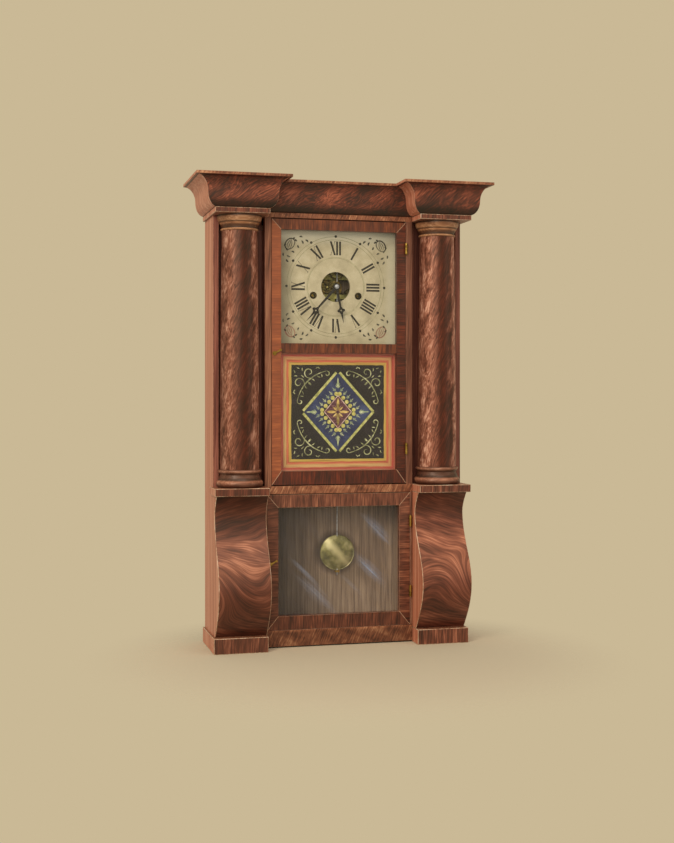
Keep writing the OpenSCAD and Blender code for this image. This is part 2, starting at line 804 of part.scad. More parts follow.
// Height span of one knuckle of a hinge that starts at z
function knuckle_span(z, i) = [z + hinge_h * i / knuckle_n + 0.08, z + hinge_h * (i + 1) / knuckle_n - 0.08];

// Leaf on the door: the middle knuckle turns on the pin
module door_leaf(x, z) {
    k = knuckle_span(z, 1);
    difference() {
        union() {
            bar([x - leaf_t, x], [0.1, leaf_w], [z, z + hinge_h]);
            bar([x - leaf_t, x], [-hinge_off, 0.2], k);
            translate([x + door_gap / 2, -hinge_off, k[0]]) cylinder(h = k[1] - k[0], d = knuckle_d);
        }
        translate([x + door_gap / 2, -hinge_off, k[0] - 1])
            cylinder(h = k[1] - k[0] + 2, d = hinge_pin_d + 2 * play);
    }
}

// Leaf on the case, with the outer knuckles and the pin riveted in them
module fixed_leaf(x, z) {
    bar([x + door_gap, x + door_gap + leaf_t], [0.1, leaf_w], [z, z + hinge_h]);
    for (i = [0, 2]) {
        k = knuckle_span(z, i);
        bar([x + door_gap, x + door_gap + leaf_t], [-hinge_off, 0.2], k);
        translate([x + door_gap / 2, -hinge_off, k[0]]) cylinder(h = k[1] - k[0], d = knuckle_d);
    }
    translate([x + door_gap / 2, -hinge_off, z - 0.6]) cylinder(h = hinge_h + 1.2, d = hinge_pin_d);
}

module upper_door_leaves() {
    at_face() color(brass) for (z = hinge_zs(upper_door_z, hinge_top_drop, hinge_foot_rise))
        door_leaf(upper_door_x, z);
}

module lower_door_leaves() {
    at_face() color(brass) for (z = hinge_zs(lower_door_z, lower_hinge_drop, lower_hinge_rise))
        door_leaf(lower_door_x, z);
}

module fixed_leaves() {
    at_face() color(brass) {
        for (z = hinge_zs(upper_door_z, hinge_top_drop, hinge_foot_rise))
            fixed_leaf(upper_door_x, z);
        for (z = hinge_zs(lower_door_z, lower_hinge_drop, lower_hinge_rise))
            fixed_leaf(lower_door_x, z);
    }
}

// Turn latch: a rose and a lever in front, a spindle through the stile, and a tongue behind
// that reaches into the partition
module latch(p) {
    tip = p + polar(lever_l - 2, 28);
    pin_y(p, [-1.2, door_t + 1.7], spindle_d);
    pin_y(p, [-1.1, -0.05], 7.5);
    slice_y(-2.8, 1.7) {
        disc_at(p, 5);
        strap(p, tip, 2.4);
        disc_at(tip, 3.6);
    }
    slice_y(door_t + 0.3, 1.6) {
        disc_at(p, 6.5);
        strap(p, p - [tongue_l, 0], 4.6);
    }
}

module upper_latch() {
    at_face() color(brass) latch(latches[0]);
}

module lower_latch() {
    at_face() color(brass) latch(latches[1]);
}

module dial() {
    at_face() color(cream) slice_y(dial_y, dial_t) difference() {
        translate([-dial_half[0], dial_z - dial_half[1]]) square([2 * dial_half[0], 2 * dial_half[1]]);
        disc_at(centre, dial_hole_d);
        for (p = [time_arbor, strike_arbor]) disc_at(p, bush_d);
    }
}

module winding_bushes() {
    at_face() color(brass) for (p = [time_arbor, strike_arbor]) difference() {
        union() {
            pin_y(p, [dial_y, dial_y + dial_t], bush_d);
            pin_y(p, [dial_y - 0.6, dial_y], bush_d + 2);
        }
        pin_y(p, [dial_y - 2, dial_y + dial_t + 1], winding_d);
    }
}

// A hand drawn pointing up from the hands' centre: ring, tapered stem, pierced ornament with four
// lobes, and tip
module hand_outline(l, ring_d, bore_d, eye_l, foot_w, stem_w) {
    eye_r = 4.6;
    eye = [0, eye_l];
    difference() {
        union() {
            circle(d = ring_d);
            polygon([[-foot_w / 2, 0], [-stem_w / 2, eye_l - eye_r],
                     [stem_w / 2, eye_l - eye_r], [foot_w / 2, 0]]);
            polygon([[-stem_w * 0.65, eye_l + eye_r * 0.7], [0, l], [stem_w * 0.65, eye_l + eye_r * 0.7]]);
            disc_at(eye, 2 * eye_r);
            for (a = [0:90:270]) disc_at(eye + polar(eye_r, a), eye_r);
        }
        circle(d = bore_d);
        disc_at(eye, 0.8 * eye_r);
        for (a = [45:90:315]) disc_at(eye + polar(0.7 * eye_r, a), 0.24 * eye_r);
    }
}

module minute_hand() {
    at_face() color(black) slice_y(minute_hand_y, hand_t) translate(centre) rotate(-minute_a)
        hand_outline(minute_l, 9, centre_d + 2 * play, minute_l * 0.69, 4.8, 2.4);
}

module hour_hand() {
    at_face() color(black) slice_y(hour_hand_y, hand_t) translate(centre) rotate(-hour_a)
        hand_outline(hour_l, 12, hour_pipe_d, hour_l * 0.65, 4, 2.8);
}

// Strap plate: a frame, a centre strap, cross straps, and bosses at the pivots
module plate_outline() {
    x = pillar_x;
    top = pillar_z[1];
    foot = pillar_z[0];
    for (s = [-1, 1]) strap([s * x, foot - strap_w / 2], [s * x, top + strap_w / 2], strap_w);
    for (z = [foot, top, time_arbor[1], pin_arbor[1]]) strap([-x, z], [x, z], strap_w);
    strap([0, foot], [0, top], strap_w);
    strap([fly_arbor[0], pin_arbor[1]], [fly_arbor[0], top], strap_w * 0.8);
    for (p = pivots) disc_at(p, strap_w);
}
pivots = [centre, third_arbor, escape_arbor, time_arbor, strike_arbor, pin_arbor, fly_arbor, hammer_arbor];
pivot_d = [centre_d, 1.6, 1.6, arbor_d, arbor_d, 2, 1.6, 2];

module plate_holes() {
    for (i = [0:len(pivot_d) - 1]) disc_at(pivots[i], pivot_d[i] + 2 * play);
    for (x = [-pillar_x, pillar_x], z = pillar_z) disc_at([x, z], 3);
}

// Front plate with its riveted parts: verge pin, motion stud, and the cock that the pendulum hangs from
module front_plate() {
    cock_z = suspension[1] - 3;
    at_face() color(brass) {
        slice_y(plate_y, plate_t) difference() {
            union() {
                plate_outline();
                strap(minute_arbor, centre, strap_w);
                disc_at(minute_arbor, strap_w);
                disc_at(verge_pin, strap_w);
            }
            plate_holes();
        }
        pin_y(verge_pin, [escape_wheel_y - 1.8, plate_y + 0.5], 2);
        pin_y(minute_arbor, [hour_wheel_y - 0.6, plate_y + 0.5], 2.4);
        difference() {
            bar([pendulum_x - 4, pendulum_x + 4], [rod_y - 3.2, plate_y + 0.2], [cock_z + 1.5, cock_z + 6.5]);
            bar([pendulum_x - 0.6, pendulum_x + 0.6], [rod_y - 4, rod_y + 2.6], [cock_z - 1, cock_z + 8]);
        }
    }
}

module back_plate() {
    at_face() color(brass) slice_y(back_plate_y, plate_t) difference() {
        plate_outline();
        plate_holes();
    }
}

module movement_pillars() {
    at_face() color(brass) for (x = [-pillar_x, pillar_x], z = pillar_z) {
        pin_y([x, z], [inner_y, back_plate_y], pillar_d);
        pin_y([x, z], [plate_y - 1.2, back_plate_y + plate_t], 2.9);
    }
}

// Toothed wheel with a rim, four arms and a hub, centred on the origin
module wheel_disc(n, m, hub_d, bore_d, arms = 4) {
    rim_r = m * n / 2 - m - 2.2;
    difference() {
        union() {
            difference() {
                polygon(wheel_outline(n, m));
                circle(rim_r);
            }
            circle(d = hub_d);
            for (a = [0:360 / arms:359]) rotate(a) translate([0, -1.1]) square([rim_r + 0.5, 2.2]);
        }
        if (bore_d > 0) circle(d = bore_d);
    }
}

// Lantern pinion: two collars with round trundles between them, turned so that a gap faces a
module lantern(p, m, y, core_d, a) {
    r = m * lantern_n / 2;
    collar = 2 * (r + 0.24 * PI * m);
    pin_y(p, [y[0], y[0] + 0.9], collar);
    pin_y(p, [y[1] - 0.9, y[1]], collar);
    for (i = [0:lantern_n - 1])
        pin_y(p + polar(r, a + 360 / lantern_n * (i + 0.5)), [y[0] + 0.5, y[1] - 0.5], 0.42 * PI * m);
    pin_y(p, y, core_d);
}

// A wheel on its arbor, turned so that a tooth faces a
module placed_wheel(p, y, t, a) {
    slice_y(y, t) translate(p) rotate(a) children();
}

// Drum on its arbor, with flanges, a ratchet wheel behind and a square for the key in front;
// the ratchet's steep sides face left on the time side and right on the strike side
module drum(p, side) {
    front = dial_y + dial_t + 1;
    flange_y = drum_y + drum_l;
    pin_y(p, [plate_y - 2, back_plate_y + plate_t], arbor_d);
    translate([p[0] - square_d / 2, front, p[1] - square_d / 2])
        cube([square_d, plate_y - 2 - front, square_d]);
    pin_y(p, [drum_y, flange_y], drum_d);
    pin_y(p, [drum_y - drum_flange_t, drum_y], drum_flange_d);
    pin_y(p, [flange_y, flange_y + drum_flange_t], drum_flange_d);
    slice_y(flange_y + drum_flange_t, ratchet_t) translate(p) mirror([side < 0 ? 1 : 0, 0])
        polygon(raked_outline(ratchet_n, ratchet_d / 2, 1.6, 0));
}

module time_drum() {
    at_face() color(brass) drum(time_arbor, 1);
}

module strike_drum() {
    at_face() color(brass) drum(strike_arbor, -1);
}

// Great wheel, loose on the drum's arbor, with the click that drives it from the ratchet
module great_wheel(p, n, mate, side) {
    click_y = drum_y + drum_l + drum_flange_t + 0.2;
    click_p = p + polar(ratchet_d / 2 + 6, 90 + 146 * side);
    placed_wheel(p, great_y, great_t, heading(p, mate)) wheel_disc(n, great_m, 36, arbor_d + 2 * play, 5);
    slice_y(click_y, ratchet_t - 0.4) {
        disc_at(click_p, 5);
        strap(click_p, p + polar(ratchet_d / 2 + 0.9, 90 + 110 * side), 1.3);
    }
    pin_y(click_p, [click_y - 0.4, great_y + 0.5], 2.4);
}

module time_great_wheel() {
    at_face() color(brass) great_wheel(time_arbor, great_n, centre, 1);
}

module strike_great_wheel() {
    at_face() color(brass) great_wheel(strike_arbor, strike_n, pin_arbor, -1);
}

// Centre wheel: its arbor carries the minute hand in front of the dial
module centre_wheel() {
    at_face() color(brass) {
        pin_y(centre, [minute_hand_y - 1.6, back_plate_y + plate_t], centre_d);
        lantern(centre, great_m, great_pinion_y, centre_d, heading(centre, time_arbor));
        placed_wheel(centre, centre_wheel_y, wheel_t, heading(centre, third_arbor))
            wheel_disc(centre_n, centre_m, 9, 0);
    }
}

module third_wheel() {
    at_face() color(brass) {
        pin_y(third_arbor, [plate_y, back_plate_y + plate_t], 1.6);
        lantern(third_arbor, centre_m, third_pinion_y, 1.8, heading(third_arbor, centre));
        placed_wheel(third_arbor, third_wheel_y, 1.1, heading(third_arbor, escape_arbor))
            wheel_disc(third_n, third_m, 7, 0);
    }
}

// Escape wheel in front of the plate, its pinion between the plates, a tooth straight up
module escape_wheel() {
    at_face() color(brass) {
        pin_y(escape_arbor, [escape_wheel_y - 0.1, back_plate_y + plate_t], 1.6);
        lantern(escape_arbor, third_m, escape_pinion_y, 1.8, heading(escape_arbor, third_arbor));
        slice_y(escape_wheel_y, wheel_t) translate(escape_arbor) {
            difference() {
                rotate(90) polygon(raked_outline(escape_n, escape_r, 2.2, -1.2));
                circle(escape_r - 4);
            }
            circle(d = 7);
            for (a = [45:90:315]) rotate(a) translate([0, -0.9]) square([escape_r - 3.5, 1.8]);
        }
    }
}

// Verge: a steel strip bent over the escape wheel, on a saddle, with the crutch that guides the pendulum
module verge() {
    arm_w = 1.3;
    strip_y = escape_wheel_y - 0.9;
    tip_r = escape_r + pallet_gap;
    fork_z = dial_z + 19;
    fork_in = rod_d / 2 + 0.25;
    crutch_y = rod_y + 2;
    crutch_t = 0.8;
    saddle_z = verge_pin[1] - 2.6;
    at_face() color(steel) {
        slice_y(strip_y, 3) difference() {
            union() {
                disc_at(verge_pin, 5);
                for (s = [-1, 1]) {
                    tip = escape_arbor + [s * tip_r * sin(span_a), tip_r * cos(span_a)];
                    elbow = escape_arbor + [s * (tip_r + 2.4) * sin(span_a), (tip_r + 2.4) * cos(span_a)];
                    strap(verge_pin, elbow, arm_w);
                    strap(elbow + [0, 0.3], tip, 0.6);
                    disc_at(elbow, arm_w);
                }
            }
            disc_at(verge_pin, 2 + 2 * play);
        }
        bar([pendulum_x - 2, pendulum_x + 2], [crutch_y, strip_y + 0.2], [saddle_z, saddle_z + 1.4]);
        bar([pendulum_x - 0.6, pendulum_x + 0.6], [crutch_y, crutch_y + crutch_t], [fork_z, saddle_z + 1]);
        bar([pendulum_x - fork_in - 0.8, pendulum_x + fork_in + 0.8], [crutch_y, crutch_y + crutch_t],
            [fork_z, fork_z + 0.9]);
        for (s = [-1, 1])
            translate([pendulum_x + s * (fork_in + 0.4) - 0.4, rod_y - 1.2, fork_z])
                cube([0.8, crutch_y - rod_y + 1.5, 0.9]);
    }
}

// Cannon pinion: a pipe that grips the centre arbor and carries the minute hand's drive
module cannon_pinion() {
    at_face() color(brass) difference() {
        union() {
            pin_y(centre, [minute_hand_y + hand_t, cannon_y + 3.4], cannon_d);
            placed_wheel(centre, cannon_y - 0.3, motion_t + 0.6, 180 / cannon_n)
                polygon(wheel_outline(cannon_n, cannon_m));
        }
        pin_y(centre, [hour_hand_y - 4, cannon_y + 5], centre_d + 2 * play);
    }
}

module minute_wheel() {
    at_face() color(brass) difference() {
        union() {
            placed_wheel(minute_arbor, cannon_y, motion_t, 0) wheel_disc(minute_n, cannon_m, 8, 0);
            placed_wheel(minute_arbor, hour_wheel_y - 0.3, cannon_y - hour_wheel_y + 0.4, 180 / minute_pinion_n)
                polygon(wheel_outline(minute_pinion_n, hour_m));
        }
        pin_y(minute_arbor, [hour_wheel_y - 2, cannon_y + 4], 2.4 + 2 * play);
    }
}

module hour_wheel() {
    at_face() color(brass) difference() {
        union() {
            placed_wheel(centre, hour_wheel_y, motion_t, 180) wheel_disc(hour_n, hour_m, 11, 0);
            pin_y(centre, [hour_hand_y - 0.4, hour_wheel_y + 0.5], hour_pipe_d);
        }
        pin_y(centre, [hour_hand_y - 3, hour_wheel_y + 3], cannon_d + 2 * play);
    }
}

// Pin wheel of the strike: its pins lift the hammer's tail
module pin_wheel() {
    at_face() color(brass) {
        pin_y(pin_arbor, [plate_y, back_plate_y + plate_t], 2);
        lantern(pin_arbor, great_m, great_pinion_y, 2.2, heading(pin_arbor, strike_arbor));
        placed_wheel(pin_arbor, pin_wheel_y, wheel_t, heading(pin_arbor, fly_arbor))
            wheel_disc(pin_n, pin_m, 7, 0);
        for (i = [0:lift_pin_n - 1])
            pin_y(pin_arbor + polar(lift_pin_r + 1.6, 60 * i + 30),
                  [pin_wheel_y - lift_pin_l, pin_wheel_y + 0.5], 1);
    }
}

// Fly: two vanes that slow the strike
module fly() {
    vane_y = [inner_y + 2.5, inner_y + 10];
    at_face() color(brass) {
        pin_y(fly_arbor, [plate_y, back_plate_y + plate_t], 1.6);
        lantern(fly_arbor, pin_m, fly_pinion_y, 1.7, heading(fly_arbor, pin_arbor));
        slice_y(vane_y[0], vane_y[1] - vane_y[0]) translate(fly_arbor) rotate(20) {
            translate([-12, -0.35]) square([24, 0.7]);
            circle(d = 3.2);
        }
    }
}

// Hammer: an arbor with a tail for the lifting pins, and a wire that passes outside the pillar
// to the head beside the gong
module hammer() {
    reach = norm(pin_arbor - hammer_arbor) - lift_pin_r - 1.6 - 0.5 - 0.35;
    tail = hammer_arbor + polar(reach, heading(hammer_arbor, pin_arbor));
    head = [gong_centre[0] - gong_r[1] - 11, gong_centre[1] + 8];
    knee = [for (up = [30, -16]) [-pillar_x - 9, pillar_z[0] + up]];
    arm_y = pin_wheel_y - lift_pin_l;
    at_face() color(brass) {
        pin_y(hammer_arbor, [plate_y, back_plate_y + plate_t], 2);
        pin_y(hammer_arbor, [arm_y - 1, arm_y + 2.6], 5);
        slice_y(arm_y, 1.6) {
            strap(hammer_arbor, tail, 1.6);
            strap(hammer_arbor, knee[0], 1.6);
            strap(knee[0], knee[1], 1.6);
            strap(knee[1], head, 1.6);
        }
        pin_y(head, [arm_y - 2, gong_y + 4], 12);
    }
}

// Tube at depth y through stations [x, z, heading]: a ring of points square to the path at each
function tube_ring(s, y, d, sides) = [
    for (k = [0:sides - 1]) let (b = 360 / sides * k, u = d / 2 * cos(b))
        [s[0] - sin(s[2]) * u, y + d / 2 * sin(b), s[1] + cos(s[2]) * u]
];
module flat_tube(stations, y, d, sides) {
    n = len(stations) - 1;
    walls = [for (i = [0:n - 1], k = [0:sides - 1])
        let (a = i * sides + k, b = i * sides + (k + 1) % sides)
        each [[a, b, b + sides], [a, b + sides, a + sides]]];
    start = [for (k = [1:sides - 2]) [0, k + 1, k]];
    end = [for (k = [1:sides - 2]) [n * sides, n * sides + k, n * sides + k + 1]];
    polyhedron([for (s = stations) each tube_ring(s, y, d, sides)], concat(walls, start, end));
}

// Gong: a steel wire coiled flat, its inner end held in a block on the backboard
gong_rings = 84;
gong_step = 360 * gong_turns;
gong_spread = gong_r[1] - gong_r[0];
function gong_station(t) = let (a = -90 + gong_step * t, r = gong_r[0] + gong_spread * t)
    concat(gong_centre + polar(r, a), [a + 90 - atan(gong_spread / (r * gong_step * PI / 180))]);
module gong() {
    block_r = gong_r[0] + 2;
    at_face() {
        color(steel) flat_tube([for (i = [0:gong_rings]) gong_station(i / gong_rings)], gong_y, gong_wire_d, 6);
        color(iron) {
            pin_y(gong_centre, [back_y - 5, back_y], 2 * block_r + 8);
            translate([gong_centre[0] - 4, gong_y - 4, gong_centre[1] - block_r - 2])
                cube([8, back_y - gong_y + 2, 8]);
        }
    }
}

// Pendulum wire: it hangs from a cross pin in the cock by a thin spring, and its foot is threaded
module pendulum_rod() {
    spring_z = suspension[1] - 14;
    at_face() color(steel) {
        bar([pendulum_x - 0.2, pendulum_x + 0.2], [rod_y - 1.6, rod_y + 1.6], [spring_z, suspension[1] + 5]);
        pin_y([pendulum_x, suspension[1] + 4.4], [rod_y - 2.2, rod_y + 2.2], 1.5);
        translate([pendulum_x, rod_y, bob_z]) cylinder(h = spring_z - bob_z + 2, d = rod_d);
        translate([pendulum_x, rod_y, rod_foot_z]) cylinder(h = bob_z - rod_foot_z + 8, d = thread_d);
    }
}

// Bob: two shallow dished shells over lead, with a rim, and a hole for the wire
module pendulum_bob() {
    dish_r = (bob_d * bob_d / 4 + bob_t * bob_t / 4 - 4) / bob_t;
    arc = [for (i = [0:12]) let (x = (bob_d / 2 - 1) * (1 - i / 12))
        [x, sqrt(dish_r * dish_r - x * x) - dish_r + bob_t / 2]];
    half = concat([[bob_d / 2, 0.8]], arc);
    at_face() color("#b8a95c") difference() {
        translate([pendulum_x, rod_y, bob_z]) rotate([-90, 0, 0]) rotate_extrude($fn = 96)
            polygon(concat([for (q = half) q], [for (q = reversed(half)) [q[0], -q[1]]]));
        translate([pendulum_x, rod_y, bob_z - bob_d]) cylinder(h = 2 * bob_d, d = thread_d + 2 * play);
    }
}

module rating_nut() {
    at_face() color(brass) translate([pendulum_x, rod_y, nut_z]) difference() {
        union() {
            cylinder(h = nut_h, d = nut_d - 1);
            for (a = [0:30:330]) rotate(a) translate([nut_d / 2 - 0.7, 0, 0]) cylinder(h = nut_h, d = 1.4);
        }
        translate([0, 0, -1]) cylinder(h = nut_h + 2, d = thread_d + 2 * play);
    }
}

axle_l = pulley_w + 10;

// Pulley on its axle along Y
module pulley(x, z, l) {
    half_w = pulley_w / 2;
    side = [[0, -half_w], [rim_r, -half_w], [rim_r, 1 - half_w], [groove_r, -0.7],
            [groove_r, 0.7], [rim_r, half_w - 1], [rim_r, half_w], [0, half_w]];
    translate([x, channel_y, z]) rotate([-90, 0, 0]) {
        rotate_extrude($fn = 64) polygon(side);
        cylinder(h = l, d = wheel_axle_d, center = true);
    }
}

module top_pulley_left() {
    at_face() color(pine) pulley(-top_pulley_x, top_pulley_z, axle_l);
}

module top_pulley_right() {
    at_face() color(pine) pulley(top_pulley_x, top_pulley_z, axle_l);
}

module weight_pulley_left() {
    at_face() color(brass) pulley(-weight_x, weight_pulley_z, pulley_w + 3);
}

module weight_pulley_right() {
    at_face() color(brass) pulley(weight_x, weight_pulley_z, pulley_w + 3);
}

// Cast-iron weight with rounded edges, and the strap stirrup that holds its pulley
module weight(x) {
    cheek_y = pulley_w / 2 + 0.6;
    cheek_t = 1.6;
    top = weight_foot_z + weight_h;
    translate([x, channel_y, weight_foot_z]) linear_extrude(weight_h)
        polygon(rounded(weight_w, weight_d, 5));
    difference() {
        union() for (s = [-1, 1])
            translate([x - 5, channel_y + s * (cheek_y + cheek_t / 2) - cheek_t / 2, top - eps])
                cube([10, cheek_t, weight_pulley_z - top + 6]);
        pin_y([x, weight_pulley_z], [channel_y - 10, channel_y + 10], wheel_axle_d + 2 * play);
    }
}

module weight_left() {
    at_face() color(iron) weight(-weight_x);
}

module weight_right() {
    at_face() color(iron) weight(weight_x);
}

// Cord bent round a pulley at p, from angle a through sweep s
module cord_bend(p, r, a, s) {
    translate([p[0], channel_y, p[1]]) rotate([90, 0, 0]) rotate([0, 0, a])
        rotate_extrude(angle = s, $fn = 64) translate([r, 0]) circle(d = cord_d, $fn = 24);
}

// Cord from under the drum, up past the partition and over the top pulley
cord_steps = 16;
module cord_runs() {
    bend = [for (i = [0:cord_steps]) let (t = (run_a + 180) * (1 - i / cord_steps))
        concat(top_pulley + polar(cord_r, t), [t - 90])];
    start = concat(time_arbor + polar(drum_cord_r, run_a), [run_a + 90]);
    at_face() color(cord_colour) both_sides() flat_tube(concat([start], bend), channel_y, cord_d, 8);
}

// The two falls of a cord, the bend under the weight's pulley and the knot over the board
module cord_fall() {
    z0 = weight_pulley_z;
    far_x = fall_x + 2 * cord_r;
    knot_z = pulley_board_z + board_t;
    at_face() color(cord_colour) {
        translate([fall_x, channel_y, z0]) cylinder(h = top_pulley_z - z0, d = cord_d);
        translate([far_x, channel_y, z0]) cylinder(h = knot_z - z0, d = cord_d);
        cord_bend([weight_x, z0], cord_r, 180, 180);
        translate([far_x, channel_y, knot_z + 1]) sphere(d = 3.6, $fn = 24);
    }
}

module cord_fall_left() {
    mirror([1, 0, 0]) cord_fall();
}

module cord_fall_right() {
    cord_fall();
}

case_sides();
backboard();
end_boards();
partitions();
niche_panels();
front_rails();
plinth_blocks();
scrolls();
column_slabs();
column_bases();
column_shafts();
column_capitals();
cornice_blocks();
cornice_centre();
cap_board();
inner_rails();
upper_door_frame();
dial_glass();
tablet_glass();
upper_door_leaves();
upper_latch();
lower_door_frame();
pendulum_glass();
lower_door_leaves();
lower_latch();
fixed_leaves();
dial();
winding_bushes();
hour_hand();
minute_hand();
front_plate();
back_plate();
movement_pillars();
time_drum();
time_great_wheel();
centre_wheel();
third_wheel();
escape_wheel();
verge();
cannon_pinion();
minute_wheel();
hour_wheel();
strike_drum();
strike_great_wheel();
pin_wheel();
fly();
hammer();
gong();
pendulum_rod();
pendulum_bob();
rating_nut();
weight_left();
weight_right();
weight_pulley_left();
weight_pulley_right();
top_pulley_left();
top_pulley_right();
cord_runs();
cord_fall_left();
cord_fall_right();
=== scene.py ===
import json
import math
from functools import partial

import bmesh
import bpy
import numpy as np
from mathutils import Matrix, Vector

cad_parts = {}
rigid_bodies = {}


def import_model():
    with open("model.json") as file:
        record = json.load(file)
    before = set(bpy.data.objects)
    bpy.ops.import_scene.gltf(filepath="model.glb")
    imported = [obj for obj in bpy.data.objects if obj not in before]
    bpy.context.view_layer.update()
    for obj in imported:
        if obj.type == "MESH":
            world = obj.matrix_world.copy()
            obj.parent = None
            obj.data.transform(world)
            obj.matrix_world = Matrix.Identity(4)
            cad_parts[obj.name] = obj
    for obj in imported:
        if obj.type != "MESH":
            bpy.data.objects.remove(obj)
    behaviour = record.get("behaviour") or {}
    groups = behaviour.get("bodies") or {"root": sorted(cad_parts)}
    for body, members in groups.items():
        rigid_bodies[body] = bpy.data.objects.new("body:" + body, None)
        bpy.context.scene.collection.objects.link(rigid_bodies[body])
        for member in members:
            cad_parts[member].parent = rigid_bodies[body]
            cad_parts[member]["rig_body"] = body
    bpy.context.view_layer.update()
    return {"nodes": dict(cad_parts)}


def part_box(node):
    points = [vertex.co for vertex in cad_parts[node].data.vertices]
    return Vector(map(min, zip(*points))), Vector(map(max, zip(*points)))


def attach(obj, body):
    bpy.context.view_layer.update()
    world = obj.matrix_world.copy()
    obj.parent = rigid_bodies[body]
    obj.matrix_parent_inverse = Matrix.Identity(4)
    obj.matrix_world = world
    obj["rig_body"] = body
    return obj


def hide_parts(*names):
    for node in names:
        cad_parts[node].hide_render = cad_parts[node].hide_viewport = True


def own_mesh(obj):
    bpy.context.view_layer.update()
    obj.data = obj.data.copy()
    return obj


# Shelf clock with columns and scroll feet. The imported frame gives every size; this script gives
# the veneers, paint, glass, brass and cords. Lengths in the dictionaries are millimetres, those of
# camera, floor and lamps metres; x goes to the right and z up as the clock is seen, and y back from
# the plane of the case's front edge.
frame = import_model()
scene = bpy.context.scene
cadNodes = frame["nodes"]
mm = 0.001
faceY = -11.5  # the front edge's plane in the frame
columnX, columnY = 184.5, -3  # the middles of columns and scrolls
quarters = ((-1, 1), (1, 1), (-1, -1), (1, -1))  # the signs of x and z towards each corner


def metres(points):
    # points of the clock's front, moved into the frame: each coordinate over 1000, y first shifted by faceY
    return (np.asarray(points, float) + (0, faceY, 0)) * mm


# Camera: a little left of the clock and just above its middle, level, with the frame shifted down
view = {"place": (-0.600, -2.3192, 0.4567), "turn": -14.46, "lens": 56.21, "shiftY": -0.03376}

cameraData = bpy.data.cameras.new("viewCamera")
cameraData.lens = view["lens"]
cameraData.shift_y = view["shiftY"]
camera = bpy.data.objects.new("viewCamera", cameraData)
camera.location = view["place"]
camera.rotation_euler = (math.radians(90), 0, math.radians(view["turn"]))
scene.collection.objects.link(camera)
scene.camera = camera
scene.view_settings.view_transform = "Standard"
print("camera placed")


# Small helpers for materials

def toLinear(hexColour):
    # sRGB to linear: c/12.92 under 0.04045, else ((c + 0.055)/1.055) to the power 2.4, for each channel
    parts = np.array([int(hexColour[i:i + 2], 16) for i in (1, 3, 5)]) / 255
    return (*np.where(parts <= 0.04045, parts / 12.92, ((parts + 0.055) / 1.055) ** 2.4), 1.0)


def addNode(tree, kind, *values, named=None, stops=(), **settings):
    # one node of a kind, with its operation after a space: its settings, its inputs as links or
    # values, in the order of the sockets in use or by name, and the colours along its ramp;
    # returns its first output in use
    kind, _, operation = kind.partition(" ")
    node = tree.nodes.new("ShaderNode" + kind)
    if operation:
        node.operation = operation
    for key, value in settings.items():
        setattr(node, key, value)
    inUse = [socket for socket in node.inputs if socket.enabled]
    byName = [(node.inputs[key], value) for key, value in (named or {}).items()]
    for socket, value in [*zip(inUse, values), *byName]:
        if isinstance(value, bpy.types.NodeSocket):
            tree.links.new(value, socket)
        else:
            socket.default_value = value
    for index, (position, colour) in enumerate(stops):
        ramp = node.color_ramp.elements
        element = ramp[index] if index < 2 else ramp.new(position)
        element.position = position
        element.color = toLinear(colour)
    return next((socket for socket in node.outputs if socket.enabled), None)


# The order of values: TexNoise takes its place, scale, detail and roughness, MapRange its value, the
# two ends that this comes from and the two that it goes to, and Mix its share, then both sides
smooth = {"interpolation_type": "SMOOTHSTEP"}
blend = {"data_type": "RGBA"}
multiply = {"data_type": "RGBA", "blend_type": "MULTIPLY"}
wholeMetre = (1000,) * 3


def startMaterial(name):
    # an empty material, and the add-node function tied to its tree
    material = bpy.data.materials.new(name)
    material.use_nodes = True
    material.node_tree.nodes.clear()
    return material, partial(addNode, material.node_tree)


def closeMaterial(add, height, strength, distance, inputs):
    # a bump from the height, the shader with its inputs, and the material's output
    dents = add("Bump", named={"Strength": strength, "Distance": distance, "Height": height})
    add("OutputMaterial", add("BsdfPrincipled", named={**inputs, "Normal": dents}))


def objectPlace(add):
    # each point's place in its object's own coordinates
    return add("TexCoord").node.outputs["Object"]


def scaled(add, sizes, tilt=0, centre=(0, 0, 0), source=None):
    # Object coordinates moved to a centre, turned about y by the tilt and divided by the sizes in mm
    return add("Mapping", source or objectPlace(add), metres(centre), (0, math.radians(tilt), 0),
               np.multiply(sizes, mm), vector_type="TEXTURE")


# Veneers. tones are the wood's colours from dark to light. stroke is the width and length of a
# stroke of grain and figure the size of the light and dark clouds, with how strongly each counts;
# tilt leans the grain from upright to the right. flow gives the grain's slope at the foot, the
# bulge and the head of a scroll, and how far its bulge bows. shade is painted shade that darkens
# along the height between two levels, around is painted shade about a column's axis, and sides is
# painted shade that darkens the left and the right halves, each by its own tone. Real mahogany
# pores are 0.2 mm wide; the strokes here are ten times that, as coarse as the render needs.
toneSteps = (0.14, 0.40, 0.62, 0.88)
mahogany = ("#2f110a", "#502314", "#6a301e", "#965137")
cornerShade = {"levels": (780, 833), "stops": [
    (0.0, "#58463f"), (0.16, "#705c55"), (0.34, "#ece8e6"), (0.66, "#ffffff"), (0.86, "#c8b2ac"), (1.0, "#c6a8a2")]}
slabLook = {"tones": ("#2c120a", "#4c2518", "#693726", "#955d45"), "stroke": (1.8, 40, 1.2),
            "figure": (12, 60, 1.0), "tilt": 2, "bend": 3}
footShade = {"levels": (0, 60), "stops": [(0.0, "#d0cac8"), (0.44, "#d0cac8"), (0.5, "#ffffff")]}
edgeLook = {"stroke": (3.0, 30, 1.2), "figure": (20, 60, 1.0), "tilt": 20, "bend": 4}
turnedLook = {"stroke": (2.6, 50, 0.8), "figure": (18, 60, 0.8), "tilt": 88, "bend": 4}
doorLook = {"stroke": (2.4, 40, 1.5), "figure": (14, 40, 1.0), "tilt": 2, "bend": 4}
